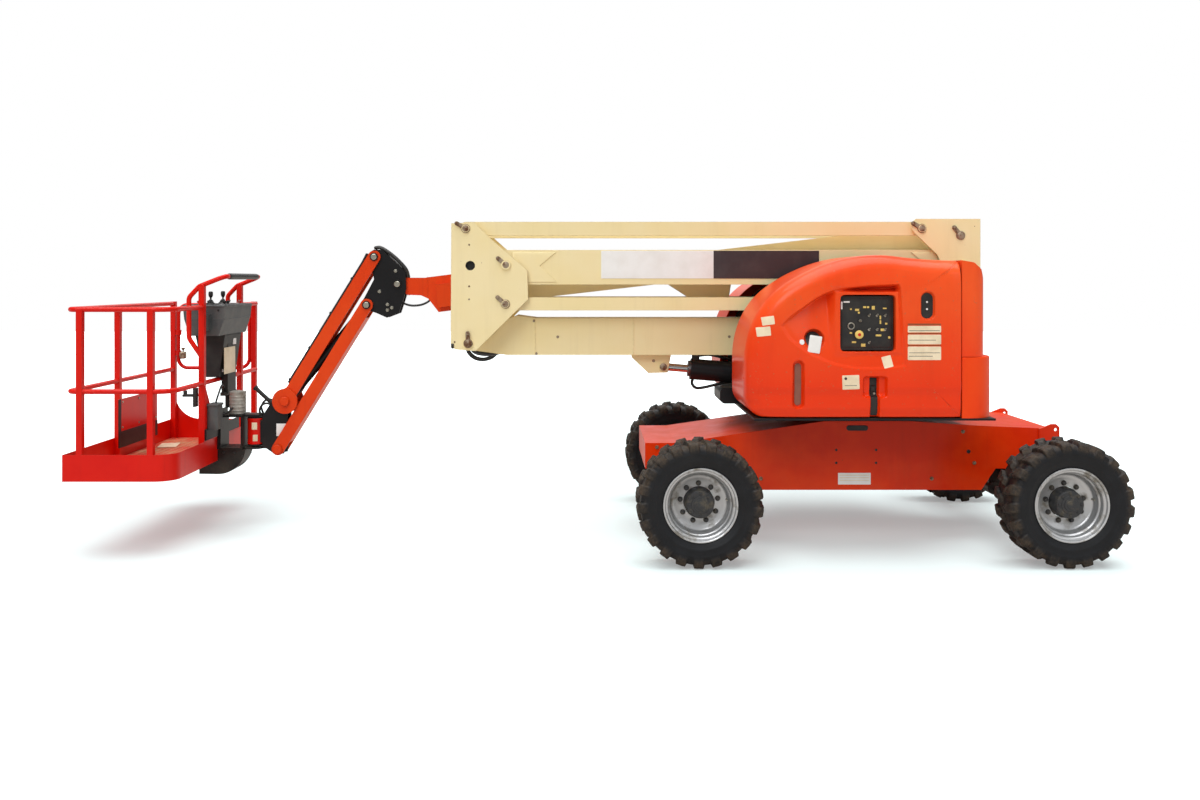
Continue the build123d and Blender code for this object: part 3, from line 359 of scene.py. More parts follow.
# The tyre's side from bead to shoulder, as (radius, distance from the middle plane).
tyreSide = [(0.2225, 0.117), (0.2245, 0.1215), (0.232, 0.1235), (0.240, 0.1225), (0.248, 0.1265),
            (0.262, 0.1325), (0.280, 0.1385), (0.284, 0.1405), (0.289, 0.1400), (0.305, 0.1425),
            (0.322, 0.1430), (0.326, 0.1448), (0.331, 0.1440), (0.343, 0.1420), (0.353, 0.1395),
            (0.362, 0.1360), (0.370, 0.1310), (0.3765, 0.1250), (0.3805, 0.1180), (0.383, 0.1110)]
tyreInside = [(0.219, -0.11), (0.219, 0.0), (0.219, 0.11)]


def smooth(value, low, high):
    step = np.clip((value - low) / (high - low), 0, 1)
    return step * step * (3 - 2 * step)


def tyreOutline():
    # the whole section, closed, and its outward normals
    half = np.array(tyreSide)
    width = np.linspace(tread["crownHalf"], -tread["crownHalf"], 52)
    crown = np.stack([tread["crown"] - 0.06 * width ** 2, width], 1)
    outline = np.concatenate([half, crown, half[::-1] * (1, -1), tyreInside])
    along = unit(np.roll(outline, -1, 0) - np.roll(outline, 1, 0))
    normal = np.stack([along[:, 1], -along[:, 0]], 1)
    outward = (normal * (outline - (0.30, 0))).sum(1, keepdims=True) >= 0
    return outline, np.where(outward, normal, -normal)


# The tyre is a closed section carried round the axle. Its groove floor is a smooth outline from bead to bead,
# and lugs stand out of it along its normal: a lug is a band of the angle, skewed with the distance from the
# middle.
def tyreShape(centre, side):
    outline, normal = tyreOutline()
    angle = np.arange(tread["around"]) / tread["around"] * 2 * np.pi
    radius, across = outline[:, :1], outline[:, 1:]
    turn = angle[None] * tread["lugs"] / (2 * np.pi)
    reach = np.clip(np.abs(across) / tread["halfWidth"], 0, 1.1)
    shift = np.where(across > 0, 0.0, 0.5) + tread["slant"] * reach * (1 - 0.35 * reach)
    share = tread["lugShare"] * (0.72 + 0.34 * smooth(reach, 0.35, 0.8))
    phase = np.abs(np.mod(turn + shift, 1.0) - 0.5) * 2
    lug = smooth(phase, 1 - share - tread["lugEdge"], 1 - share + tread["lugEdge"])
    lug *= smooth(np.abs(across), 0.004, tread["centreBand"]) * 0.96 + 0.04
    nearNotch = smooth(np.abs(np.abs(across) - tread["notchAt"]), 0.007, 0.002)
    notch = 1 - tread["notchDepth"] * nearNotch * (phase < 0.93)
    rising = smooth(radius, tread["shoulderFrom"], tread["shoulderTo"])
    depth = tread["shoulderDepth"] + (tread["lugDepth"] - tread["shoulderDepth"]) * rising
    height = lug * notch * smooth(radius, tread["zoneFrom"], tread["zoneTo"])
    worn = tread["wear"] * np.sin(angle * 37 + across * 90) * height
    rise = height * depth - np.abs(worn)
    radius, across = radius + normal[:, :1] * rise, across + normal[:, 1:] * rise
    radius = np.minimum(radius, tread["outer"])
    points = np.stack([centre[0] + radius * np.cos(angle), centre[1] + side * across + 0 * angle,
                       centre[2] + radius * np.sin(angle)], -1)
    ring = np.repeat(outline[:, :1], tread["around"], 1)
    quads = gridQuads(len(outline), tread["around"], wrapRows=True, wrapColumns=True)
    return points.reshape(-1, 3), quads, height.ravel(), ring.ravel()


# Vulcanised rubber: blue-black, slightly glossy side wall; tan mud dried on the lug ends and in the grooves.
def vulcanisedRubber():
    material, node, place = newMaterial("vulcanisedRubber")
    lug = node("Attribute", {"attribute_name": "lugHeight"}, "Fac")
    ring = node("Attribute", {"attribute_name": "ringRadius"}, "Fac")
    aged = noiseMask(node, place, 8.0, 0.35, 0.7)
    colour = node("Mix", {**colourMix, 0: aged, 6: "#0B0D11", 7: "#14171C"}, 2)
    fine = noiseMask(node, place, 70.0, 0.3, 0.7)
    treadZone = node("MapRange", {"From Min": 0.345, "From Max": 0.366, "Value": ring})
    muddy = node("Math", {**product, 0: treadZone, 1: noiseMask(node, place, 16.0, 0.40, 0.68)})
    muddy = node("Math", {**product, 0: muddy, 1: 0.62})
    mud = node("Mix", {**colourMix, 0: fine, 6: "#3F3428", 7: "#5E4E3D"}, 2)
    colour = node("Mix", {**colourMix, 0: muddy, 6: colour, 7: mud}, 2)
    colour = layer(node, colour, "#554839", node("Math", {**product, 0: lug, 1: fine}), 0.35)
    colour = layer(node, colour, "#4A443C", noiseMask(node, place, 5.0, 0.5, 0.8), 0.08)
    roughness = node("MapRange", {"To Min": 0.5, "To Max": 0.92, "Value": muddy})
    grain = node("TexNoise", {"Scale": 130.0, "Detail": 4.0, "Vector": place})
    bump = node("Bump", {"Strength": 0.35, "Distance": 0.003, "Height": grain})
    finishSurface(node, colour, roughness, bump, {"IOR": 1.52, "Specular IOR Level": 0.3})
    return material


rubber = vulcanisedRubber()
# Profiles are (radius, distance outward from the wheel's middle), in metres.
rimProfile = [(0.2215, -0.118), (0.2215, 0.118), (0.236, 0.1225), (0.2395, 0.127), (0.2385, 0.1315),
              (0.2335, 0.1325), (0.2275, 0.1295), (0.2245, 0.1225), (0.2225, 0.1185), (0.2145, 0.1165),
              (0.2085, 0.1120), (0.2050, 0.1040), (0.2035, 0.0800), (0.2000, 0.0760), (0.1960, 0.0740),
              (0.1925, 0.0680), (0.1900, 0.0420), (0.1870, 0.0300), (0.1810, 0.0225), (0.1700, 0.0180),
              (0.1520, 0.0150), (0.1480, 0.0125), (0.1020, 0.0120), (0.1010, 0.0000), (0.1700, 0.0000),
              (0.1900, 0.0050), (0.1965, -0.0150), (0.1990, -0.0900), (0.2080, -0.1120), (0.2240, -0.1280),
              (0.2385, -0.1315), (0.2390, -0.1240), (0.2215, -0.118)]
hubProfile = [(0, 0.116), (0.024, 0.116), (0.026, 0.113), (0.040, 0.1125), (0.042, 0.108), (0.056, 0.107),
              (0.058, 0.1035), (0.084, 0.1025), (0.088, 0.098), (0.0895, 0.062), (0.094, 0.056),
              (0.0955, 0.030), (0.0985, 0.024), (0.0995, 0.012), (0.0995, -0.02), (0, -0.02)]
valveProfile = [(0, 0), (0.006, 0), (0.006, 0.022), (0.0045, 0.024), (0.0045, 0.038), (0, 0.038)]
rim = {"bolts": (9, 0.123, 0.0115, 0.2, 0.024, 0.020), "hubBolts": (8, 0.071, 0.1025, 0.0, 0.013, 0.008),
       "valveAt": (0.176, 0.0185, 0.02)}


def boltRing(centre, side, count, radius, outward, start, across, height):
    angles = np.arange(count) / count * 2 * np.pi + start
    ring = np.stack([np.cos(angles) * radius, np.full(count, side * outward), np.sin(angles) * radius], 1)
    return bolts(centre + ring, (0, side, 0), across, height)


for name, side in wheels.items():
    centre = np.mean(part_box("tyre_" + name), axis=0)
    body, out = "road_wheel_" + name, (0, side, 0)
    points, quads, height, ring = tyreShape(centre, side)
    tyre = addPiece("tyreTread_" + name, (points, quads), rubber, body, angle=50,
                    values={"lugHeight": height, "ringRadius": ring})
    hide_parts("tyre_" + name)
    rimPiece = addPiece("rim_" + name, turned(rimProfile, centre, out, 96), rimSilver, body)
    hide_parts("wheel_" + name)
    addPiece("hub_" + name, turned(hubProfile, centre, out, 64), hubIron, body)
    nuts = joined([boltRing(centre, side, *rim[kind]) for kind in ("bolts", "hubBolts")])
    addPiece("wheelNuts_" + name, nuts, hubIron, body)
    valve = turned(valveProfile, centre + np.array(rim["valveAt"]) * (1, side, 1), out, 12)
    addPiece("tyreValve_" + name, valve, zincPlate, body)
print("wheels done")

# Each CAD node that stays in view takes a real finish.
finishes = {
    chassisEnamel: ["chassis_frame"],
    blackEnamel: ["fixed_axle", "steer_axle", "steering_knuckle_near", "steering_knuckle_far",
                  "turntable_frame", "hood_bulkheads", "front_cover", "tower_cylinder_barrel",
                  "lift_cylinder_barrel", "jib_cylinder_barrel", "jib_head", "platform_bracket",
                  "platform_support", "belly_guard"],
    machinedSteel: ["swing_bearing"],
    hardChrome: ["steering_rod", "tower_cylinder_rod", "lift_cylinder_rod", "jib_cylinder_rod"],
    weightEnamel: ["counterweight"],
    hoodGelCoat: ["rear_cover", "hood_near", "hood_far"],
    blackAbs: ["ground_controls", "console_pedestal"],
    hubIron: ["engine_block"],
    castAluminium: ["support_canister"],
    creamEnamel: ["lower_tower_boom", "lower_tower_links", "mid_upright", "upper_tower_boom",
                  "upper_tower_links", "upper_upright", "main_boom"],
    jibEnamel: ["fly_boom", "jib_upper_link", "jib_lower_link"],
    basketEnamel: ["basket_tray", "basket_rails", "front_panel", "basket_gate"],
    greyAbs: ["control_console"],
}
for material, names in finishes.items():
    for name in names:
        nodes[name].data.materials.clear()
        nodes[name].data.materials.append(material)
print("finishes set")


def arcAfter(start, heading, end, count):
    # the arc from start to end that leaves along heading: its points after the first, and its end heading
    start, heading, end = np.asarray(start, float), unit(heading), np.asarray(end, float)
    chord = end - start
    side = np.array([-heading[1], heading[0]])
    offset = chord @ side
    radius = (chord @ chord) / (2 * offset)
    centre = start + side * radius
    sweep = 2 * np.arctan2(offset, chord @ heading)
    angles = np.linspace(0, sweep, count + 1)[1:]
    spoke = start - centre
    points = centre + np.stack([spoke[0] * np.cos(angles) - spoke[1] * np.sin(angles),
                                spoke[0] * np.sin(angles) + spoke[1] * np.cos(angles)], 1)
    cos, sin = math.cos(sweep), math.sin(sweep)
    return points, np.array([heading[0] * cos - heading[1] * sin, heading[0] * sin + heading[1] * cos])


def evenly(points, count):
    # points of an outline placed again at equal steps along it
    points = np.asarray(points, float)
    steps = np.concatenate([[0], np.cumsum(np.linalg.norm(np.diff(points, axis=0), axis=1))])
    where = np.linspace(0, steps[-1], count)
    return np.stack([np.interp(where, steps, points[:, k]) for k in range(points.shape[1])], 1)


def smoothLine(points, count):
    # Catmull-Rom: each stretch is the cubic that leaves a point along the line between its neighbours
    points = np.asarray(points, float)
    full = np.concatenate([[2 * points[0] - points[1]], points, [2 * points[-1] - points[-2]]])
    where = np.linspace(0, len(points) - 1, count)
    index = np.minimum(where.astype(int), len(points) - 2)
    t = (where - index)[:, None]
    a, b, c, d = (full[index + k] for k in range(4))
    square, cube = 2 * a - 5 * b + 4 * c - d, 3 * b - a - 3 * c + d
    return 0.5 * (2 * b + (c - a) * t + square * t ** 2 + cube * t ** 3)


def lineDistance(x, z, line):
    # distance from points to the nearest stretch of a line, each point's foot kept between the stretch's ends
    a, run = line[:-1], np.diff(line, axis=0)
    point = np.stack([x.ravel(), z.ravel()], 1)[:, None]
    share = np.clip(((point - a[None]) * run).sum(-1) / (run ** 2).sum(-1), 0, 1)
    return np.linalg.norm(point - (a[None] + run * share[..., None]), axis=-1).min(1).reshape(x.shape)


def insideDistance(x, z, outline):
    # distance to a closed outline, positive inside it: a point is inside where a level ray crosses it an odd
    # number of times
    a, b = outline, np.roll(outline, -1, 0)
    pointX, pointZ = x.ravel()[:, None], z.ravel()[:, None]
    crossing = (a[None, :, 1] > pointZ) != (b[None, :, 1] > pointZ)
    slope = (b[:, 0] - a[:, 0]) / np.where(b[:, 1] == a[:, 1], 1e-9, b[:, 1] - a[:, 1])
    odd = (crossing & (pointX < a[None, :, 0] + (pointZ - a[None, :, 1]) * slope[None])).sum(1) % 2
    return lineDistance(x, z, np.concatenate([outline, outline[:1]])) * (2 * odd.reshape(x.shape) - 1)


# The hood's side outline and what is moulded into its face, X and Z in metres.
hood = {"arcs": [(1.052, 1.535), (1.250, 1.797), (1.560, 1.956), (2.010, 2.000), (2.410, 1.972)],
        "foot": (1.011, 1.300), "bottom": 0.953, "right": 2.410, "corner": 0.130, "shoulder": 0.095,
        "innerY": 0.356, "outerY": 1.030, "crown": 0.022, "windowCentre": (1.804, 1.564),
        "window": (0.183, 0.188), "columns": 640, "faceRows": 108, "arcPoints": 24, "wall": 0.005,
        "linerDepth": 0.135, "hardRadius": 0.012, "crownSoft": 0.005, "fieldDrop": 0.006}
# Places are (X, Z); slots are (X, Z, half length, half width, depth).
relief = {"ledge": 0.007, "dish": 0.095, "frame": (1.799, 1.569), "frameHalf": (0.202, 0.197),
          "frameDepth": 0.010, "frameLean": 0.055, "hollow": (1.457, 1.455), "hollowRadius": 0.052,
          "hollowDepth": 0.045,
          "slots": ((1.352, 1.165, 0.120, 0.027, 0.034), (2.190, 1.678, 0.046, 0.036, 0.026)),
          "latch": (1.849, 1.150), "lobeHalf": (0.060, 0.050), "lobeDepth": 0.032, "grooveHalf": 0.026,
          "grooveTop": 1.215, "grooveDepth": 0.030, "tuckIn": 0.008, "footIn": 0.012}
dishTop = smoothLine([(1.230, 1.548), (1.294, 1.606), (1.375, 1.664), (1.492, 1.742), (1.608, 1.784),
                      (1.782, 1.806), (2.000, 1.817)], 60)
dishFoot = smoothLine([(1.230, 1.548), (1.294, 1.455), (1.422, 1.362), (1.608, 1.286), (1.840, 1.262),
                       (2.050, 1.280)], 60)
dishRight = smoothLine([(2.012, 1.790), (2.026, 1.60), (2.040, 1.42), (2.053, 1.30)], 12)
dish = np.concatenate([dishTop, dishRight, dishFoot[:0:-1]])


def boxGap(x, z, middle, half):
    # signed distance to an upright box, below zero inside it
    overX, overZ = np.abs(x - middle[0]) - half[0], np.abs(z - middle[1]) - half[1]
    return np.minimum(np.maximum(overX, overZ), 0) + np.hypot(np.maximum(overX, 0), np.maximum(overZ, 0))


def hoodDepth(x, z):
    # how far the face lies in from its crowned surface. The dish drops as a wall under its upper rim and
    # slopes out to its lower one: depth = rim step * (ledge + dish * share of the height between the rims to
    # the 1.3)
    inside = insideDistance(x, z, dish)
    upper, lower = np.interp(x, *dishTop.T), np.interp(x, *dishFoot.T)
    share = np.clip((z - lower) / np.maximum(upper - lower, 0.01), 0, 1)
    slope = relief["dish"] * share ** 1.3 * smooth(x, 1.20, 1.50)
    depth = smooth(inside, -0.004, 0.022) * (relief["ledge"] + slope)
    # the raised frame round the controls
    lean = x - relief["frameLean"] * (1.75 - z) * smooth(x, 1.75, 1.95)
    frameGap = boxGap(lean, z, relief["frame"], relief["frameHalf"])
    raised = smooth(frameGap, 0.020 + 0.028 * smooth(x, 1.75, 1.60), -0.004)
    depth = depth * (1 - raised) + relief["frameDepth"] * raised
    # round hollow with a finger hold
    hollow = np.hypot(x - relief["hollow"][0], (z - relief["hollow"][1]) / 1.05)
    within = smooth(hollow, relief["hollowRadius"] + 0.018, relief["hollowRadius"])
    depth += within * relief["hollowDepth"] * smooth(z, 1.37, 1.50)
    # upright slots with round ends
    for slotX, slotZ, length, width, deep in relief["slots"]:
        gap = np.hypot(x - slotX, np.maximum(np.abs(z - slotZ) - length, 0))
        depth += smooth(gap, width + 0.012, width) * deep
    # latch hollow: two round-ended lobes beside a slot that runs out at the bottom edge
    lobe = boxGap(x, z, relief["latch"], relief["lobeHalf"])
    depth += smooth(lobe, 0.022, 0.008) * relief["lobeDepth"] * smooth(z, 1.04, 1.12)
    groove = np.maximum(np.abs(x - relief["latch"][0]) - relief["grooveHalf"], z - relief["grooveTop"])
    depth += smooth(groove, 0.006, -0.004) * relief["grooveDepth"]
    # a soft step low on the side, where the moulding tucks in
    depth += smooth(z, 1.155, 1.09) * relief["tuckIn"] + smooth(z, 1.02, 0.953) * relief["footIn"]
    return depth


def hoodCrown(x, z):
    # the face falls away towards the left and the top, and a little at the right edge
    fall = smooth(x, 1.42, 1.0) ** 2 + smooth(z, 1.72, 2.0) ** 2
    return hood["crown"] * fall + hood["crownSoft"] * smooth(x, 2.34, 2.41)


def hoodOutline():
    # left edge, arcs over the top, right edge, bottom and corner, closed, at equal steps
    line, heading = [np.array([hood["foot"]])], np.array([0.0, 1.0])
    for end in hood["arcs"]:
        points, heading = arcAfter(line[-1][-1], heading, end, hood["arcPoints"])
        line.append(points)
    left, right, bottom, corner = hood["foot"][0], hood["right"], hood["bottom"], hood["corner"]
    line.append(np.array([(right, bottom), (left + corner, bottom)]))
    angles = np.linspace(-np.pi / 2, -np.pi, 16)[1:]
    line.append(np.stack([left + corner + corner * np.cos(angles),
                          bottom + corner + corner * np.sin(angles)], 1))
    line.append(np.array([hood["foot"]]))
    return np.concatenate(line)


def edgeDrop(distance, radius):
    # quarter circle: how far a rounded edge lies below its face at a distance in from its line
    share = np.clip(1 - distance / radius, 0, 1)
    return radius * (1 - np.sqrt(1 - share ** 2))


def softRadius(z):
    # the shoulder's radius, drawn in to a hard edge at the foot
    hard = hood["hardRadius"]
    return hard + (hood["shoulder"] - hard) * smooth(z, hood["bottom"], hood["bottom"] + 0.10)


fullOutline = hoodOutline()
arcsEnd = 1 + hood["arcPoints"] * len(hood["arcs"])
softEdge = np.concatenate([fullOutline[arcsEnd + 1:], fullOutline[1:arcsEnd]])[::2]
hardEdge = np.array([hood["arcs"][-1], (hood["right"], hood["bottom"]),
                     (hood["foot"][0] + hood["corner"], hood["bottom"])])


def hoodFace(x, z):
    # the outer face as a height over the side view: flat, less the crown, the relief and both kinds of edge
    shoulder = edgeDrop(lineDistance(x, z, softEdge), softRadius(z))
    hard = edgeDrop(lineDistance(x, z, hardEdge), hood["hardRadius"])
    return hood["outerY"] - hoodCrown(x, z) - hoodDepth(x, z) - shoulder - hard


def hoodColumns(centre):
    # the outline's points, spread by a mix of angle and length, so that corners keep theirs
    fine = evenly(fullOutline, 4000)[:-1]
    spoke = fine - centre
    angle = np.unwrap(np.arctan2(spoke[:, 1], spoke[:, 0]))
    turn = np.abs(np.diff(np.append(angle, angle[0] - 2 * np.pi)))
    steps = np.linalg.norm(np.roll(fine, -1, 0) - fine, axis=1)
    measure = np.concatenate([[0], np.cumsum(steps + 0.25 * turn)])
    where = np.linspace(0, measure[-1], hood["columns"] + 1)[:-1]
    closed = np.concatenate([fine, fine[:1]])
    outline = np.stack([np.interp(where, measure, closed[:, k]) for k in range(2)], 1)
    cornerGap = np.full(len(outline), np.inf)
    for corner in ((hood["right"], hood["bottom"]), hood["arcs"][-1]):
        outline[np.argmin(np.linalg.norm(outline - corner, axis=1))] = corner
        cornerGap = np.minimum(cornerGap, np.linalg.norm(outline - corner, axis=1))
    return outline, cornerGap


def atDepth(flat, y):
    return np.concatenate([flat, np.broadcast_to(np.asarray(y, float), flat.shape[:-1])[..., None]], -1)


def windowHole(outline, centre):
    # where the line from each column to the window's middle meets its rounded sill
    spoke = outline - centre
    half = np.array(hood["window"])
    share = 1 / np.maximum(np.abs(spoke[:, 0]) / half[0], np.abs(spoke[:, 1]) / half[1])
    reach = (np.abs(spoke * share[:, None] / half) ** 14).sum(1) ** (-1 / 14)
    return centre + spoke * (share * reach)[:, None]


def hoodShape(side, window):
    # rings carried in from the side outline: side wall, shoulder, then straight lines across the face to the
    # window, round its sill, and back out over the plain liner to the lip
    centre = np.array(hood["windowCentre"])
    outline, cornerGap = hoodColumns(centre)
    along = unit(np.roll(outline, -1, 0) - np.roll(outline, 1, 0))
    inward = np.stack([along[:, 1], -along[:, 0]], 1)
    inner = outline + inward * hood["wall"]
    hard = lineDistance(outline[:, 0], outline[:, 1], hardEdge) < 1e-4
    band = np.minimum(np.where(hard, hood["hardRadius"], softRadius(outline[:, 1])), 0.003 + 0.9 * cornerGap)
    turn = np.linspace(0, np.pi / 2, 14)[:, None]
    bend = outline[None] + inward[None] * (band * (1 - np.cos(turn)))[..., None]
    hole = windowHole(outline, centre)
    t = np.linspace(0, 1, hood["faceRows"])[:, None, None]
    face = np.concatenate([bend, (bend[-1][None] * (1 - t) + hole[None] * t)[1:]])
    faceY = hoodFace(face[..., 0], face[..., 1])
    wallY = np.linspace(hood["innerY"], faceY[0], 8)[:-1]
    liner = hood["outerY"] - hood["linerDepth"]
    rows = [atDepth(np.broadcast_to(outline, (7, *outline.shape)), wallY), atDepth(face, faceY)]
    if window:
        sill = [(0.012, faceY[-1] - 0.001), (0.018, faceY[-1] - 0.004), (0.020, faceY[-1] - 0.026),
                (0.020, liner)]
        rows += [atDepth(hole + (centre - hole) * pull, y)[None] for pull, y in sill]
    else:
        # no controls on this side: the frame closes over as one flat pressed field
        shares = np.linspace(0, 1, 20)[1:, None, None]
        drop = hood["fieldDrop"] * smooth(shares[..., 0], 0.0, 0.10)
        rows.append(atDepth(hole[None] * (1 - shares) + centre * shares, faceY[-1][None] - drop))
        rows.append(atDepth(np.broadcast_to(centre, hole.shape), liner)[None])
    rows += [atDepth(inner, liner)[None], atDepth(inner, hood["innerY"])[None]]
    grid = np.concatenate(rows)
    points = np.stack([grid[..., 0], side * grid[..., 2], grid[..., 1]], -1)
    quads = gridQuads(grid.shape[0], grid.shape[1], wrapRows=True, wrapColumns=True)
    return points.reshape(-1, 3), quads if side > 0 else quads[:, ::-1]


for name, side in (("near", -1), ("far", 1)):
    shell = addPiece("hoodMoulding_" + name, hoodShape(side, side < 0), hoodGelCoat, name + "_hood",
                     angle=40, turn=False)
    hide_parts("hood_" + name)
print("hoods done")


def roundedRectangle(width, height, radius, steps=7):
    # quarter circles at the four corners, joined by straight sides, as points round the origin
    turns = np.linspace(0, np.pi / 2, steps)[None] + np.arange(4)[:, None] * np.pi / 2
    x = np.array([1, -1, -1, 1])[:, None] * (width / 2 - radius) + radius * np.cos(turns)
    z = np.array([1, 1, -1, -1])[:, None] * (height / 2 - radius) + radius * np.sin(turns)
    return np.stack([x.ravel(), z.ravel()], 1)


def boxed(u0, u1, v0, v1, radius=0.004):
    # a rounded rectangle between two corners
    return roundedRectangle(u1 - u0, v1 - v0, radius) + np.array([(u0 + u1) / 2, (v0 + v1) / 2])


def circle(radius, sides=28, centre=(0, 0)):
    angles = np.arange(sides) / sides * 2 * np.pi
    return np.stack([radius * np.cos(angles), radius * np.sin(angles)], 1) + np.array(centre)


def capsule(start, end, radius, steps=10):
    # two half circles round the ends of a short line, joined by straight sides
    start, end = np.asarray(start, float), np.asarray(end, float)
    heading = math.atan2(end[1] - start[1], end[0] - start[0])
    turns = np.linspace(-np.pi / 2, np.pi / 2, steps) + heading
    cap = radius * np.stack([np.cos(turns), np.sin(turns)], 1)
    return np.concatenate([end + cap, start - cap])


def tilted(outline, degrees):
    # an outline turned about its middle
    middle = (outline.max(0) + outline.min(0)) / 2
    cos, sin = math.cos(math.radians(degrees)), math.sin(math.radians(degrees))
    return (outline - middle) @ np.array([[cos, sin], [-sin, cos]]) + middle


def dense(outline, count=80):
    # the same outline with points along its straight sides too, for a pad that follows a curved face
    return evenly(np.concatenate([outline, outline[:1]]), count + 1)[:-1]


def onSide(y):
    # a place on an upright face: u is X, v is Z and height goes outward from the middle plane
    sign = 1 if y > 0 else -1
    return lambda u, v, height: np.stack([u, y + sign * height, v], -1)


def onTop(z):
    return lambda u, v, height: np.stack([u, v, z + height], -1)


def onEnd(x):
    # a place on a face that looks along X: u is Y, v is Z
    return lambda u, v, height: np.stack([x + height, u, v], -1)


def pad(outline, place, height, edge=0.0008, sink=0.001, rings=3):
    # a thin closed body over an outline: back, wall, an edge rounded in three steps and a top, each ring the
    # outline drawn in about its middle
    outline = np.asarray(outline, float)
    middle = (outline.max(0) + outline.min(0)) / 2
    reach = np.linalg.norm(outline - middle, axis=1).min()
    shares = [0, 1, 1, 1 - 0.3 * edge / reach, *np.linspace(1 - edge / reach, 0, rings + 1)]
    heights = [-sink, -sink, height - edge, height - 0.3 * edge, *[height] * (rings + 1)]
    flat = middle + (outline - middle)[None] * np.array(shares)[:, None, None]
    points = place(flat[..., 0], flat[..., 1], np.array(heights)[:, None] * np.ones(len(outline)))
    return points.reshape(-1, 3), gridQuads(len(shares), len(outline), wrapColumns=True)


def block(low, high, radius=0.004, edge=0.003):
    # a box between two corners with rounded upright edges and a rounded top and foot
    low, high = np.asarray(low, float), np.asarray(high, float)
    size, middle = high - low, (low + high) / 2
    outline = roundedRectangle(size[0], size[2], min(radius, size[0] / 2.1, size[2] / 2.1), 4)
    reach = min(size[0], size[2]) / 2
    shares = [0, 1 - edge / reach, 1, 1, 1 - edge / reach, 0]
    depths = [0, 0, edge, size[1] - edge, size[1], size[1]]
    flat = outline[None] * np.array(shares)[:, None, None]
    points = np.stack([middle[0] + flat[..., 0], high[1] - np.array(depths)[:, None] * np.ones(len(outline)),
                       middle[2] + flat[..., 1]], -1)
    return points.reshape(-1, 3), gridQuads(len(shares), len(outline), wrapColumns=True)


def tube(line, radius, sides=14):
    # a round section carried along a line: each ring is square to the line and keeps its own zero angle on
    # the plane that the line lies nearest to; both ends close
    line = np.asarray(line, float)
    along = unit(np.gradient(line, axis=0))
    flatWay = np.linalg.svd(line - line.mean(0))[2][-1]
    across = unit(np.cross(along, flatWay + 1e-6))
    up = np.cross(along, across)
    radii = np.broadcast_to(radius, len(line)).astype(float)
    line = np.concatenate([line[:1], line[:1], line, line[-1:], line[-1:]])
    radii = np.concatenate([[0, radii[0] * 0.85], radii, [radii[-1] * 0.85, 0]])
    line[2] += along[0] * radii[2] * 0.2
    line[-3] -= along[-1] * radii[-3] * 0.2
    across, up = (np.concatenate([v[:1], v[:1], v, v[-1:], v[-1:]]) for v in (across, up))
    angles = np.arange(sides) / sides * 2 * np.pi
    ring = across[:, None] * np.cos(angles)[None, :, None] + up[:, None] * np.sin(angles)[None, :, None]
    points = line[:, None] + ring * radii[:, None, None]
    return points.reshape(-1, 3), gridQuads(len(line), sides, wrapColumns=True)


def hose(points, radius, count=40, sides=12):
    # a tube on a smooth line through a few points, at equal steps
    return tube(evenly(smoothLine(points, count * 3), count), radius, sides)


def bothSides(make):
    # what make(side) gives on the near side and on the far side
    return joined([make(side) for side in (-1, 1)])


def sideTurned(profile, spots, y, sides=28):
    # a profile turned round each (X, Z) on both sides, outward from y
    return joined([turned(profile, (x, side * y, z), (0, side, 0), sides)
                   for x, z in spots for side in (-1, 1)])


def sideBolts(spots, y, across, height):
    return bothSides(lambda side: bolts([(x, side * y, z) for x, z in spots], (0, side, 0), across, height))


def sidePads(outlines, y, height, edge, sink=0.001):
    return bothSides(lambda side: joined([pad(outline, onSide(side * y), height, edge, sink)
                                          for outline in outlines]))


def pads(rows, place, height, edge, sink=0.001, radius=0.001, rings=3):
    # pads with rounded corners on rows of (from, to, low, high)
    return joined([pad(boxed(*row, radius), place, height, edge, sink, rings) for row in rows])


def addPieces(body, rows):
    for name, shape, material, slot in rows:
        addPiece(name, shape, material, body)


print("shape tools ready")

# What sits on the hoods. Label places are X from, X to, Z from, Z to and a tilt; all labels are blank.
hoodTrim = {"thickness": 0.0012,
            "labels": [(1.116, 1.196, 1.553, 1.608, 8), (1.082, 1.172, 1.480, 1.540, 6),
                       (1.634, 1.745, 1.136, 1.228, 2), (1.898, 1.960, 1.276, 1.352, 14),
                       (2.058, 2.274, 1.505, 1.548, 0), (2.058, 2.274, 1.428, 1.491, 0),
                       (2.058, 2.274, 1.326, 1.414, 0)],
            "headers": [(2.058, 2.274, 1.551, 1.563, 0), (2.058, 2.274, 1.494, 1.502, 0),
                        (2.058, 2.274, 1.417, 1.425, 0)],
            "bars": [(2.066, 2.266, 1.516, 1.519), (2.066, 2.240, 1.454, 1.457), (2.066, 2.266, 1.372, 1.375),
                     (2.066, 2.220, 1.350, 1.353), (1.650, 1.728, 1.160, 1.163)],
            "tag": (1.418, 1.498, 1.372, 1.484), "tagTilt": -9, "dot": (1.376, 1.442), "dotRadius": 0.017,
            "rivets": ((2.190, 1.702), (2.190, 1.656)), "mark": (1.656, 1.206), "holeRadius": 0.052}


def onHood(side):
    # a place that follows the hood's own face
    return lambda u, v, height: np.stack([u, side * (hoodFace(u, v) + height), v], -1)


def faceAt(x, z):
    return float(hoodFace(np.array([x]), np.array([z]))[0])


def hoodLabels(kind, side):
    outlines = [dense(tilted(boxed(*box), tilt)) for *box, tilt in hoodTrim[kind]]
    return joined([pad(outline, onHood(side), hoodTrim["thickness"], 0.0004, 0.004, 10)
                   for outline in outlines])


def hoodDots(spots, radius, sides, height, edge):
    return joined([pad(circle(radius, sides, spot), onHood(-1), height, edge, 0.004) for spot in spots])


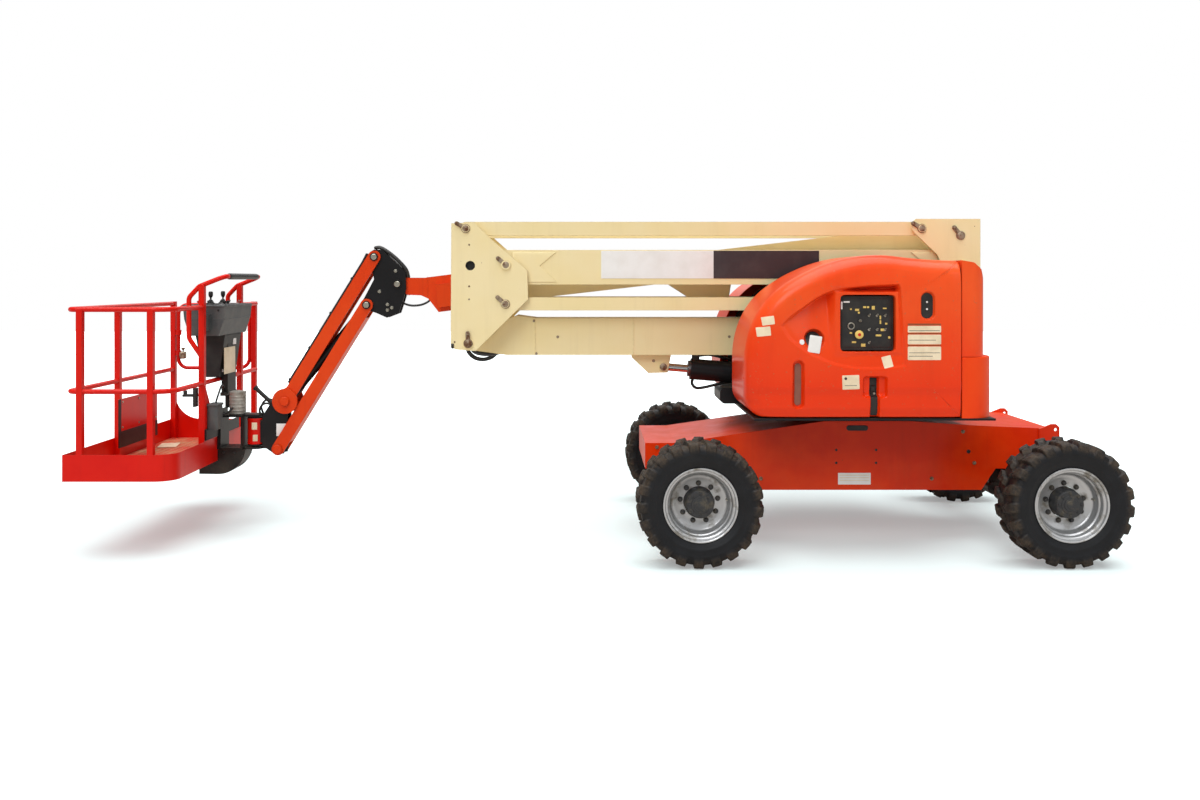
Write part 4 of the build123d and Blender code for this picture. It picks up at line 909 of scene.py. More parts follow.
tagY = -faceAt(1.457, 1.375) - 0.003
tag = tilted(boxed(*hoodTrim["tag"], 0.006), hoodTrim["tagTilt"])
for name, shape, material in (
        ("hoodLabels_near", hoodLabels("labels", -1), paleVinyl),
        ("hoodLabelHeaders_near", hoodLabels("headers", -1), orangeVinyl),
        ("hoodLabelBars_near", pads(hoodTrim["bars"], onHood(-1), 0.0018, 0.0003, 0.004), greyAbs),
        ("hoodDots_near", joined([hoodDots([hoodTrim["dot"]], hoodTrim["dotRadius"], 40, 0.0012, 0.0004),
                                  hoodDots(hoodTrim["rivets"], 0.0065, 14, 0.0035, 0.0006)]), whiteVinyl),
        ("hoodLabelMark_near", hoodDots([hoodTrim["mark"]], 0.009, 16, 0.002, 0.0004), darkVinyl),
        ("hoodTag_near", pad(tag, onSide(tagY), 0.0012, 0.0005, 0.0008), whiteVinyl)):
    addPiece(name, shape, material, "near_hood")

# Lens in the front slot, dark grille in the round hole and the rear oval, and the latch in its groove.
latch = {"plateHalf": 0.023, "plate": (0.962, 1.208), "handleHalf": 0.013, "handle": (1.040, 1.150),
         "pin": (0.004, 1.105)}
latchPin = [(0, 0.024), (0.006, 0.024), (0.008, 0.021), (0.008, -0.004), (0, -0.004)]
latchX = relief["latch"][0]
for name, side in (("near", -1), ("far", 1)):
    face = onHood(side)
    (slotX, slotZ, length, width, _), (ovalX, ovalZ, ovalLength, ovalWidth, _) = relief["slots"]
    lens = capsule((slotX, slotZ - length + 0.004), (slotX, slotZ + length - 0.004), width - 0.005)
    oval = capsule((ovalX, ovalZ - ovalLength), (ovalX, ovalZ + ovalLength), ovalWidth + 0.002)
    hole = circle(hoodTrim["holeRadius"]) * np.array([1.0, 1.05]) + np.array(relief["hollow"])
    plate = boxed(latchX - latch["plateHalf"], latchX + latch["plateHalf"], *latch["plate"], 0.006)
    handle = boxed(latchX - latch["handleHalf"], latchX + latch["handleHalf"], *latch["handle"], 0.006)
    latchY = side * (faceAt(latchX, 1.10) - 0.004)
    pinOffset, pinZ = latch["pin"]
    addPieces(name + "_hood", (
        ("hoodLens_" + name, pad(dense(lens), face, 0.004, 0.002, 0.002, 12), amberLens, "hood_paint"),
        ("hoodGrilles_" + name, joined([pad(dense(oval), face, 0.0025, 0.001, 0.003, 8),
                                        pad(hole, face, 0.002, 0.001, 0.003, 6)]), blackAbs, "hood_paint"),
        ("hoodLatch_" + name, joined([pad(dense(plate), face, 0.003, 0.001, 0.003, 14),
                                      pad(handle, onSide(latchY), 0.014, 0.004, 0.002)]), blackAbs,
         "hood_paint"),
        ("hoodLatchPin_" + name, turned(latchPin, (latchX + pinOffset, latchY, pinZ), (0, side, 0), 20),
         zincPlate, "hood_paint")))

# Ground control panel: a faceplate with toggle switches, key switch, hour meter and stop knob. Marks are
# X, Z, half width, half height; the first four are white.
panel = {"y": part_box("ground_controls")[0][1], "plate": (1.640, 1.968, 1.404, 1.726),
         "strip": (1.700, 1.940, 1.688, 1.716), "lift": 0.003, "whiteMarks": 4,
         "toggles": [(1.818, 1.612), (1.870, 1.612), (1.922, 1.612), (1.818, 1.520), (1.870, 1.520),
                     (1.922, 1.520), (1.818, 1.436)],
         "marks": [(1.640, 1.694, 0.005, 0.010), (1.640, 1.678, 0.005, 0.009), (1.640, 1.662, 0.005, 0.008),
                   (1.672, 1.702, 0.020, 0.005), (1.790, 1.668, 0.010, 0.006), (1.812, 1.668, 0.007, 0.006),
                   (1.846, 1.664, 0.010, 0.012), (1.740, 1.650, 0.013, 0.007), (1.752, 1.632, 0.006, 0.006),
                   (1.700, 1.655, 0.006, 0.005), (1.892, 1.600, 0.005, 0.012), (1.892, 1.570, 0.005, 0.012),
                   (1.906, 1.520, 0.012, 0.008), (1.880, 1.484, 0.018, 0.006), (1.930, 1.560, 0.007, 0.006),
                   (1.720, 1.440, 0.014, 0.006), (1.780, 1.420, 0.014, 0.010), (1.920, 1.660, 0.012, 0.004),
                   (1.950, 1.470, 0.007, 0.007), (1.700, 1.500, 0.008, 0.005)],
         "knob": (1.749, 1.490), "meter": (1.701, 1.545), "key": (1.760, 1.580)}
collarProfile = [(0, 0.004), (0.0075, 0.004), (0.009, 0.002), (0.009, 0), (0, 0)]
panelKnobProfile = [(0, 0.030), (0.020, 0.030), (0.027, 0.026), (0.028, 0.018), (0.022, 0.014),
                    (0.014, 0.012), (0.013, 0), (0, 0)]
knobCapProfile = [(0, 0.0335), (0.009, 0.033), (0.0105, 0.031), (0.0105, 0.029), (0, 0.029)]
meterProfile = [(0.0165, 0.002), (0.0175, 0.007), (0.0215, 0.008), (0.0235, 0.006), (0.0235, 0), (0.0165, 0)]
keyProfile = [(0, 0.010), (0.008, 0.010), (0.010, 0.007), (0.010, 0), (0, 0)]
# A toggle's stick, as (outward, up) from its foot, and its radii.
stickLine = [(0.002, 0), (0.012, 0.004), (0.020, 0.008), (0.027, 0.011)]
stickRadii = [0.0026, 0.0030, 0.0040, 0.0036]

outward = (0, -1, 0)


def onPanel(x, z):
    return np.array([x, panel["y"] - panel["lift"], z])


def panelMarks(rows):
    return pads([(x - w, x + w, z - h, z + h) for x, z, w, h in rows], onSide(panel["y"]), 0.0042, 0.0003,
                rings=2)


def panelKey():
    x, y, z = onPanel(*panel["key"])
    return [turned(keyProfile, (x, y, z), outward, 24),
            block((x - 0.0015, y - 0.030, z - 0.008), (x + 0.0015, y - 0.008, z + 0.008), 0.001, 0.0005)]


spots = [onPanel(x, z) for x, z in panel["toggles"]]
sticks = [tube([spot + (0, -out, up) for out, up in stickLine], stickRadii, 12) for spot in spots]
plates = [pad(boxed(*panel["plate"], 0.010), onSide(panel["y"]), panel["lift"], 0.0015),
          pad(boxed(*panel["strip"], 0.003), onSide(panel["y"]), 0.005, 0.001)]
for name, shape, material in (
        ("panelFace", joined(plates), blackAbs),
        ("panelMarks", panelMarks(panel["marks"][:panel["whiteMarks"]]), whiteVinyl),
        ("panelTints", panelMarks(panel["marks"][panel["whiteMarks"]:]), yellowVinyl),
        ("panelToggles", joined([turned(collarProfile, spots, outward, 18, sixSided=(1, 2, 3)), *sticks]),
         zincPlate),
        ("panelKnob", turned(panelKnobProfile, onPanel(*panel["knob"]), outward, 36), yellowVinyl),
        ("panelKnobCap", turned(knobCapProfile, onPanel(*panel["knob"]), outward, 24), redKnob),
        ("panelMeter", joined([turned(meterProfile, onPanel(*panel["meter"]), outward, 36), *panelKey()]),
         zincPlate)):
    addPiece(name, shape, material, "turntable")

# Black strip in the gap between hood and rear cover, painted shade that stands in for the gap's shadow, up
# its side and in over the top, as (Y outward, Z).
gapShadeLine = [(0.985, 0.960), (0.985, 1.45), (0.985, 1.86), (0.955, 1.925), (0.88, 1.948), (0.62, 1.948)]
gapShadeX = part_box("rear_cover")[0][0] - 0.005
for name, side in (("near", -1), ("far", 1)):
    # painted shade: a dark tube fills the gap where its shadow falls
    gapShade = hose([(gapShadeX, side * y, z) for y, z in gapShadeLine], 0.0045, 60, 10)
    addPiece("gapShadeStrip_" + name, gapShade, rubberHose, "turntable")
print("hood trim and controls done")

# Tower: pins with their keepers, doubler plates, seams, the banner panels and the hoses under the upright.
pivots = {joint["name"]: np.array(joint["pos_m"]) for joint in frame["record"]["behaviour"]["joints"]
          if "pos_m" in joint}
keeper = {"barWidth": 0.030, "barHeight": 0.009, "length": 0.074, "barFrom": 0.018}
pinProfile = [(0, 0.016), (0.021, 0.016), (0.027, 0.012), (0.027, -0.002), (0, -0.002)]
washerProfile = [(0.013, 0.004), (0.031, 0.004), (0.033, 0.002), (0.033, -0.001), (0, -0.001)]


def sideView(name):
    return pivots[name][[0, 2]]


def keepers(pins, y):
    # for each pin (X, Z, angle of its keeper bar): washer, head, a bar that locks it and the bar's bolt
    parts = []
    for side in (-1, 1):
        out = (0, side, 0)
        for x, z, degrees in pins:
            heading = np.array([math.cos(math.radians(degrees)), math.sin(math.radians(degrees))])
            end = np.array([x, z]) + heading * keeper["length"]
            parts += [turned(profile, (x, side * y, z), out, 28) for profile in (pinProfile, washerProfile)]
            bar = capsule(np.array([x, z]) + heading * keeper["barFrom"], end, keeper["barWidth"] / 2)
            parts.append(pad(bar, onSide(side * (y + 0.003)), keeper["barHeight"], 0.002, 0.004))
            parts.append(bolts([(end[0], side * (y + 0.013), end[1])], out, 0.019, 0.011))
    return joined(parts)


upright = {"y": 0.290, "footY": 0.303, "hole": (-0.860, 1.948), "thirdPin": (0.267, 1.6725),
           "topPin": (2.382, 2.215), "buffer": (-0.996, -0.978, 1.352, 1.388), "bufferY": (0.270, 0.300),
           "bolts": [(-0.868, 2.098), (-0.868, 1.800), (-0.868, 1.706), (-0.972, 1.400)]}
holeProfile = [(0, -0.030), (0.0335, -0.030), (0.0335, 0.0005), (0.0315, 0.0005), (0.0315, -0.026),
               (0, -0.026)]
thirdX, thirdZ = upright["thirdPin"]
midPins = [(*sideView("tower_high_links_turn"), 150), (*sideView("tower_high_boom_turn"), 140),
           (pivots["mid_upright_level"][0] + thirdX, thirdZ, 140)]


def bufferPad(side):
    x0, x1, z0, z1 = upright["buffer"]
    y0, y1 = sorted(side * y for y in upright["bufferY"])
    return block((x0, y0, z0), (x1, y1, z1))


footPin = (*sideView("mid_upright_level"), 92)
addPieces("tower_mid_upright", (
    ("pinKeepers_mid", keepers(midPins, upright["y"]), rustedPin, "axle_steel"),
    ("pinKeepers_foot", keepers([footPin], upright["footY"]), rustedPin, "axle_steel"),
    ("uprightHoleLining", sideTurned(holeProfile, [upright["hole"]], upright["y"], 32), blackAbs,
     "black_paint"),
    ("uprightBolts", sideBolts(upright["bolts"], upright["y"] - 0.001, 0.009, 0.005), rustedPin,
     "axle_steel"),
    ("uprightBuffers", bothSides(bufferPad), rubberHose, "black_paint")))
topPins = [(*sideView("boom_lift"), 130), (*upright["topPin"], 150)]
addPiece("pinKeepers_top", keepers(topPins, upright["y"]), rustedPin, "tower_top_upright")

# Doubler plates on the upper tower boom end in a notch; the one at the right is the mirror of the left.
beam = {"y": 0.250, "middle": 1.0335,
        "notch": [(-0.560, 1.828), (-0.235, 1.828), (-0.362, 1.948), (-0.245, 2.046), (-0.560, 2.046)],
        "pale": (0.080, 0.891, 1.856, 2.056), "dark": (0.891, 1.652, 1.856, 2.056), "banner": 0.003}
notch = np.array(beam["notch"])
mirrored = np.array([2 * beam["middle"], 0]) + notch * np.array([-1, 1])
doublers = sidePads([notch, mirrored], beam["y"], 0.006, 0.003)
addPiece("beamDoublers", doublers, creamEnamel, "tower_boom_high")
for side, name in ((-1, "near"), (1, "far")):
    for kind, part, lift, material in (("bannerPale_", "pale", 0.0, whiteVinyl),
                                       ("bannerDark_", "dark", 0.001, darkVinyl)):
        panelShape = pad(boxed(*beam[part], 0.002), onSide(side * beam["y"]), beam["banner"] + lift, 0.001)
        addPiece(kind + name, panelShape, material, "tower_boom_high")

# Lower tower boom: upright seams, the ear's pins and small fittings. Hoses sag under the upright and run back
# into the boom. Each hose has its points and its radius.
lower = {"y": 0.130, "low": 1.297, "high": 1.564, "seams": (-0.402, 0.318), "earY": 0.076, "stopY": 0.061,
         "fittings": [(-0.237, 1.428), (-0.410, 1.545), (-0.395, 1.305), (1.02, 1.43)],
         "stop": (0.470, 1.248), "eye": 0.034}
rodLow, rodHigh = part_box("tower_cylinder_rod")
earPin = (rodLow[0] + lower["eye"], rodHigh[2] - lower["eye"])
seams = [boxed(x - 0.004, x + 0.004, lower["low"], lower["high"], 0.002) for x in lower["seams"]]
hoses = [([(-0.930, 0.060, 1.372), (-0.918, 0.062, 1.305), (-0.872, 0.064, 1.258), (-0.806, 0.066, 1.243),
           (-0.735, 0.066, 1.262), (-0.680, 0.064, 1.315)], 0.0095),
         ([(-0.925, 0.030, 1.372), (-0.905, 0.032, 1.315), (-0.862, 0.034, 1.272), (-0.800, 0.036, 1.257),
           (-0.740, 0.036, 1.275), (-0.700, 0.034, 1.320)], 0.0085),
         ([(-0.880, -0.050, 1.345), (-0.850, -0.052, 1.312), (-0.790, -0.054, 1.298), (-0.720, -0.056, 1.300),
           (-0.640, -0.056, 1.318)], 0.016),
         ([(-0.875, -0.090, 1.345), (-0.840, -0.090, 1.318), (-0.780, -0.090, 1.306), (-0.700, -0.090, 1.305),
           (-0.630, -0.090, 1.322)], 0.014)]
addPieces("tower_boom_low", (
    ("lowerSeams", sidePads(seams, lower["y"], 0.003, 0.0015), creamEnamel, "cream_paint"),
    ("lowerFittings", sideBolts(lower["fittings"], lower["y"] - 0.001, 0.014, 0.008), rustedPin,
     "axle_steel"),
    ("earPins", joined([sideTurned(pinProfile, [earPin], lower["earY"]),
                        sideBolts([lower["stop"]], lower["stopY"], 0.016, 0.008)]), rustedPin, "axle_steel"),
    ("uprightHoses", joined([hose(line, radius, 36) for line, radius in hoses]), rubberHose, "black_paint")))

# Tower cylinder: a gland nut where the rod leaves its barrel, a port block and two hoses along the barrel.
# The places of block and hoses are measured from the barrel's end.
tower = {"glandRadius": 0.062, "block": ((0.020, -0.025, 0.040), (0.075, 0.025, 0.108)),
         "hoses": [([(0.070, -0.012, 0.095), (0.160, -0.014, 0.100), (0.300, -0.016, 0.074),
                     (0.600, -0.016, 0.046), (0.800, -0.016, 0.040)], 0.010),
                   ([(0.030, 0.0, -0.070), (0.020, 0.0, -0.110), (0.050, 0.0, -0.145), (0.120, 0.0, -0.140),
                     (0.240, 0.0, -0.110), (0.360, 0.0, -0.088)], 0.011)]}


def towerTrim():
    foot, eye = pivots["tower_barrel_turn"], np.array([earPin[0], 0, earPin[1]])
    axis = unit(eye - foot)
    end = foot + axis * ((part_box("tower_cylinder_barrel")[0][0] - foot[0]) / axis[0])
    corner = np.array([end[0], 0, end[2]])
    radius = tower["glandRadius"]
    gland = [(radius * 0.55, 0.012), (radius * 0.95, 0.012), (radius + 0.004, 0.008),
             (radius + 0.004, -0.030), (radius + 0.001, -0.034), (radius * 0.55, -0.034)]
    parts = [block(*(corner + spot for spot in tower["block"]))]
    parts += [hose([corner + spot for spot in line], thick) for line, thick in tower["hoses"]]
    addPieces("tower_barrel", (
        ("towerGland", turned(gland, end, axis, 40, sixSided=(2, 3)), machinedSteel, "axle_steel"),
        ("towerPorts", joined(parts), rubberHose, "black_paint")))


towerTrim()
print("tower trim done")

# Fly nose, jib head and links: pin caps, bolts, the hoses over the head and down the upper link.
jib = {"top": sideView("jib_lift"), "base": sideView("jib_barrel_turn"), "end": sideView("jib_end_level"),
       "half": 0.046, "headY": 0.052, "headBolts": [(-1.440, 1.912), (-1.500, 1.664), (-1.468, 1.640),
                                                    (-1.500, 1.622), (-1.560, 1.760)],
       "seams": (-1.352, -1.205), "seamZ": (1.73, 1.868)}
jibAlong = unit(jib["end"] - jib["top"])
jibOut = np.array([jibAlong[1], -jibAlong[0]])
jibOut = jibOut if jibOut[0] < 0 else -jibOut
endBase = jib["end"] + jib["base"] - jib["top"]
capProfile = [(0, 0.010), (0.018, 0.010), (0.022, 0.007), (0.022, -0.002), (0, -0.002)]
bossProfile = [(0, 0.008), (0.030, 0.008), (0.034, 0.005), (0.034, -0.004), (0, -0.004)]
# Hoses over the head's curved top, (X, Z) of their shared line, and each hose's Y, radius and lift.
overHead = [(-1.352, 1.862), (-1.372, 1.925), (-1.430, 1.992), (-1.500, 2.050), (-1.560, 2.084),
            (-1.602, 2.082)]
headHoses = [(-0.030, 0.011, 0), (-0.006, 0.011, 0.004), (0.018, 0.011, 0)]
linkRuns = {"y": (-0.034, -0.010, 0.014), "radius": 0.0105, "from": 0.085, "to": 0.120, "startOut": 0.062,
            "startAlong": 0.010, "clips": (0.18, 0.42, 0.66, 0.88), "clipY": (-0.052, 0.032),
            "clipRadius": 0.0135}
noseLine = [(-1.400, -0.020, 1.690), (-1.375, -0.022, 1.668), (-1.320, -0.026, 1.655),
            (-1.250, -0.028, 1.662), (-1.195, -0.026, 1.690), (-1.185, -0.020, 1.725)]


def linkRun(y):
    # from the head onto the link, then straight along it
    radius = linkRuns["radius"]
    start = jib["top"] + jibAlong * linkRuns["from"] + jibOut * (jib["half"] + radius)
    stop = jib["end"] - jibAlong * linkRuns["to"] + jibOut * (jib["half"] + radius)
    first = jib["top"] + jibOut * linkRuns["startOut"] + jibAlong * linkRuns["startAlong"]
    return hose([(x, y, z) for x, z in np.vstack([first, np.linspace(start, stop, 12)])], radius, 60)


def hoseClip(share):
    x, z = jib["top"] + (jib["end"] - jib["top"]) * share + jibOut * (jib["half"] + 0.011)
    return tube([(x, y, z) for y in np.linspace(*linkRuns["clipY"], 6)], linkRuns["clipRadius"], 10)


pinCaps = joined([sideTurned(capProfile, [jib["top"], jib["base"]], 0.084),
                  sideTurned(capProfile, [sideView("head_level")], 0.062)])
overHeadHoses = joined([hose([(x, y, z + lift) for x, z in overHead], radius)
                        for y, radius, lift in headHoses])
seams = [boxed(x - 0.003, x + 0.003, *jib["seamZ"], 0.002) for x in jib["seams"]]
addPieces("head", (("headPinCaps", pinCaps, zincPlate, "axle_steel"),
                   ("headBolts", sideBolts(jib["headBolts"], jib["headY"], 0.017, 0.010), zincPlate,
                    "axle_steel"),
                   ("headHoses", overHeadHoses, rubberHose, "black_paint")))
addPieces("jib_top_link", (("linkHoses", joined([linkRun(y) for y in linkRuns["y"]]), rubberHose,
                            "black_paint"),
                           ("hoseClips", joined([hoseClip(share) for share in linkRuns["clips"]]), blackAbs,
                            "black_paint")))
addPieces("fly", (("noseHose", hose(noseLine, 0.008), rubberHose, "black_paint"),
                  ("flySeams", sidePads(seams, 0.034, 0.002, 0.001), jibEnamel, "jib_paint")))

# Lower end of the jib: label plates, the red rotator with its ribbed drum, a stay rod and short hoses. Each
# rod or hose has its line, how many points it takes, radius and sides.
rotator = {"x": -2.490, "radius": 0.0585, "low": 0.628, "high": 0.820, "rib": 0.003, "band": 0.001,
           "labels": ((-0.012, 0.026, 0.738, 0.790), (-0.004, 0.030, 0.652, 0.700)),
           "bracketLabel": (-2.322, -2.238, 0.690, 0.782)}
stays = [([(-2.486, -0.022, 1.044), (-2.440, -0.022, 1.000), (-2.392, -0.022, 0.956),
           (-2.345, -0.022, 0.912)], 20, 0.015, 16),
         ([(-2.440, -0.030, 0.836), (-2.452, -0.034, 0.880), (-2.430, -0.034, 0.920), (-2.390, -0.030, 0.928),
           (-2.350, -0.026, 0.900)], 30, 0.008, 12),
         ([(-2.436, 0.020, 0.836), (-2.455, 0.020, 0.900), (-2.420, 0.020, 0.950), (-2.370, 0.020, 0.948),
           (-2.335, 0.018, 0.910)], 30, 0.008, 12)]
stayCap = [(-2.492, -0.022, 1.050), (-2.489, -0.022, 1.047), (-2.483, -0.022, 1.041), (-2.478, -0.022, 1.036)]


def drumProfile():
    # a closed band: plain wall, a raised rib at each end and a slightly raised middle
    radius, low, high = rotator["radius"], rotator["low"], rotator["high"]
    rib, band = radius + rotator["rib"], radius + rotator["band"]
    half = [(radius - 0.004, 0), (radius, 0), (rib, 0.002), (rib, 0.014), (band, 0.017)]
    return [(r, low + z) for r, z in half] + [(r, high - z) for r, z in half[::-1]] + [(radius - 0.004, low)]


def onDrum(u, v, height):
    # round the rotator's near side: u is the arc from its nearest line
    turn = u / rotator["radius"]
    reach = rotator["radius"] + rotator["band"] + height
    return np.stack([rotator["x"] + reach * np.sin(turn), -reach * np.cos(turn), v], -1)


drumLabels = [pad(dense(boxed(*box, 0.002), 40), onDrum, 0.0012, 0.0004, 0.0006, 5)
              for box in rotator["labels"]]
stayParts = [hose(line, radius, count, sides) for line, count, radius, sides in stays]
stayParts.insert(1, tube(stayCap, 0.020, 16))
bosses = joined([sideTurned(bossProfile, [jib["end"]], 0.102), sideTurned(bossProfile, [endBase], 0.084)])
bracketLabels = sidePads([boxed(*rotator["bracketLabel"], 0.003)], 0.052, 0.0015, 0.0005, 0.0008)
addPieces("jib_end", (
    ("endBosses", bosses, jibEnamel, "jib_paint"),
    ("bracketLabels", bracketLabels, whiteVinyl, "black_paint"),
    ("rotatorDrum", turned(drumProfile(), (rotator["x"], 0, 0), (0, 0, 1), 64), basketEnamel, "basket_paint"),
    ("rotatorLabels", joined(drumLabels), paleVinyl, "basket_paint"),
    ("stayRod", joined(stayParts), rubberHose, "black_paint")))
print("jib trim done")

upward = (0, 0, 1)
# Canister: a ribbed silver can with a domed lid and a spout.
canLow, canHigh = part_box("support_canister")
can = {"x": (canLow[0] + canHigh[0]) / 2, "radius": (canHigh[0] - canLow[0]) / 2, "low": canLow[2],
       "high": canHigh[2], "rib": 0.0025, "inset": 0.0005, "waves": 42, "ribs": (0.04, 0.84)}


def canProfile():
    # foot, then a wall that waves as the cosine of its height, then the lid's shoulder and the spout
    radius, low, high, rib = can["radius"], can["low"], can["high"], can["rib"]
    wall = [(radius - rib - can["inset"] + rib * smooth(math.cos(share * can["waves"]), 0.2, 0.9),
             low + (high - low) * share) for share in np.linspace(*can["ribs"], 60)]
    foot = [(0, low), (radius - 0.006, low), (radius - 0.001, low + 0.005)]
    lid = [(radius - 0.001, high - 0.022), (radius, high - 0.016), (radius - 0.002, high - 0.010),
           (radius - 0.014, high - 0.006), (0.020, high - 0.002), (0.014, high), (0, high)]
    return foot + wall + lid


canShape = turned(canProfile(), (can["x"], 0, 0), upward, 56)
canPiece = addPiece("supportCan", canShape, castAluminium, "platform")
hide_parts("support_canister")

# Console: rim and waist mouldings, two levers in boots, small knobs, a stop button and toggle switches.
# Places on it are X, and Y from its middle.
consoleLow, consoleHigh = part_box("control_console")
console = {"y": (consoleLow[1] + consoleHigh[1]) / 2, "half": 0.300, "top": consoleHigh[2],
           "left": consoleLow[0], "right": consoleHigh[0], "waist": 1.560, "cornerTurn": 0.02,
           "face": (-2.915, -2.675, -0.275, 0.275), "levers": [(-2.800, -0.150), (-2.800, 0.110)],
           "stop": (-2.850, -0.235),
           "knobs": [(-2.730, -0.06), (-2.730, 0.02), (-2.860, -0.02)],
           "marks": [(-2.880, -0.150), (-2.880, 0.110), (-2.700, -0.200), (-2.700, 0.140), (-2.880, 0.210),
                     (-2.790, 0.230)], "markHalf": (0.012, 0.016),
           "toggles": [(-2.850, 0.180), (-2.850, 0.215), (-2.850, 0.250), (-2.800, 0.250), (-2.720, 0.200),
                       (-2.720, 0.235)],
           "bolts": [(-2.900, 1.625), (-2.690, 1.625), (-2.795, 1.500)]}
bootProfile = [(0, 0.036), (0.010, 0.036), (0.012, 0.032), (0.018, 0.028), (0.015, 0.024), (0.024, 0.019),
               (0.021, 0.015), (0.031, 0.009), (0.033, 0.003), (0.036, 0.001), (0.036, -0.002), (0, -0.002)]
stickProfile = [(0, 0.096), (0.012, 0.095), (0.016, 0.088), (0.0165, 0.070), (0.013, 0.056), (0.007, 0.050),
                (0.005, 0.030), (0, 0.030)]
knobProfile = [(0, 0.026), (0.010, 0.026), (0.013, 0.022), (0.012, 0.012), (0.006, 0.009), (0.006, -0.001),
               (0, -0.001)]
stopProfile = [(0, 0.030), (0.016, 0.029), (0.020, 0.025), (0.019, 0.016), (0.010, 0.012), (0.010, -0.001),
               (0, -0.001)]
# A toggle's stick, as (X, up) from its foot, and its radii.
toggleLine = [(0, 0), (0.002, 0.008), (0.006, 0.018), (0.010, 0.026)]
toggleRadii = [0.0045, 0.0028, 0.0036, 0.0036]


def onConsole(spots, lift=0.0):
    return [(x, console["y"] + y, console["top"] + lift) for x, y in spots]


def consoleBead(inset, z, radius):
    # a closed bead round the console's four corners, which turn on short arcs
    half = console["half"] - 0.002
    left, right = console["left"] + inset, console["right"] - inset
    low, high = console["y"] - half, console["y"] + half
    points = np.array([(left, low, z), (right, low, z), (right, high, z), (left, high, z)])
    parts = []
    for k in range(4):
        before, here, after = points[k - 1], points[k], points[(k + 1) % 4]
        start, stop = (here + unit(other - here) * console["cornerTurn"] for other in (before, after))
        share = np.linspace(0, 1, 8)[:, None]
        parts.append((1 - share) ** 2 * start + 2 * share * (1 - share) * here + share ** 2 * stop)
    return tube(np.concatenate(parts + [parts[0][:1]]), radius, 12)


def consoleMark(x, y):
    halfX, halfY = console["markHalf"]
    return x - halfX, x + halfX, console["y"] + y - halfY, console["y"] + y + halfY


beads = joined([consoleBead(0.004, console["top"] - 0.010, 0.009),
                consoleBead(0.013, console["waist"], 0.004)])
levers = joined([turned(bootProfile, onConsole(console["levers"]), upward, 32),
                 turned(stickProfile, onConsole(console["levers"]), upward, 28),
                 turned(knobProfile, onConsole(console["knobs"]), upward, 24)])
toggles = joined([tube([(x + out, y, z + up) for out, up in toggleLine], toggleRadii, 10)
                  for x, y, z in onConsole(console["toggles"])])
x0, x1, y0, y1 = console["face"]
faceOutline = boxed(x0, x1, console["y"] + y0, console["y"] + y1, 0.020)
marks = pads([consoleMark(x, y) for x, y in console["marks"]], onTop(console["top"] + 0.002), 0.001, 0.0004,
             radius=0.003)


def consoleBoltRow(side):
    y = console["y"] + side * (console["half"] + 0.001)
    return bolts([(x, y, z) for x, z in console["bolts"]], (0, side, 0), 0.010, 0.005)


for name, shape, material in (
        ("consoleBeads", beads, greyAbs),
        ("consoleLevers", levers, blackAbs),
        ("consoleStop", turned(stopProfile, onConsole([console["stop"]]), upward, 28), redKnob),
        ("consoleFace", pad(faceOutline, onTop(console["top"] - 0.001), 0.003, 0.0015), blackAbs),
        ("consoleMarks", marks, whiteVinyl),
        ("consoleToggles", toggles, zincPlate),
        ("consoleBolts", bothSides(consoleBoltRow), blackAbs)):
    addPiece(name, shape, material, "platform")

# Pedestal: blank label plates on its back, as Y from, Y to, Z from, Z to, the face's X and how far they are
# let into it, and a foot bracket.
pedestal = {"label": ((-0.170, 0.070, 1.150, 1.345), -2.694, 0.001),
            "marks": [((0.020, 0.080, 1.360, 1.405), -2.690, 0.012),
                      ((-0.130, -0.112, 1.165, 1.185), -2.717, 0.016)],
            "foot": [((-2.742, -0.120, 0.985), (-2.700, 0.120, 1.012)),
                     ((-2.736, -0.030, 0.888), (-2.706, 0.030, 0.990))]}


def pedestalPad(box, x, sink):
    y0, y1, z0, z1 = box
    return pad(boxed(console["y"] + y0, console["y"] + y1, z0, z1, 0.003), onEnd(x), 0.0015, 0.0005, sink)


middle = np.array([0, console["y"], 0])
addPieces("platform", (
    ("pedestalLabels", pedestalPad(*pedestal["label"]), paleVinyl, "panel_plastic"),
    ("pedestalMark", joined([pedestalPad(*mark) for mark in pedestal["marks"]]), whiteVinyl, "panel_plastic"),
    ("pedestalFoot", joined([block(middle + low, middle + high) for low, high in pedestal["foot"]]), blackAbs,
     "black_paint")))

# Guard: a foam grip on the cross bar. Entry gate: latch block and a drop pin.
grip = {"place": (-2.610, 1.871), "y": (-0.255, 0.405), "radius": 0.0225, "endRadius": 0.019, "rings": 24}
gripRadii = [grip["endRadius"], *[grip["radius"]] * (grip["rings"] - 2), grip["endRadius"]]
gripLine = [(grip["place"][0], y, grip["place"][1]) for y in np.linspace(*grip["y"], grip["rings"])]
gate = {"block": ((-3.398, 0.862, 1.192), (-3.352, 0.912, 1.252)), "pin": (-3.375, 0.889, 1.252)}
dropPin = [(0, 0.034), (0.012, 0.032), (0.016, 0.024), (0.012, 0.016), (0.006, 0.012), (0.006, -0.002),
           (0, -0.002)]
addPiece("guardGrip", tube(gripLine, gripRadii, 20), rubberHose, "platform")
latchShape = joined([block(*gate["block"], 0.012, 0.008), turned(dropPin, gate["pin"], upward, 24)])
addPiece("gateLatch", latchShape, rustedPin, "gate")

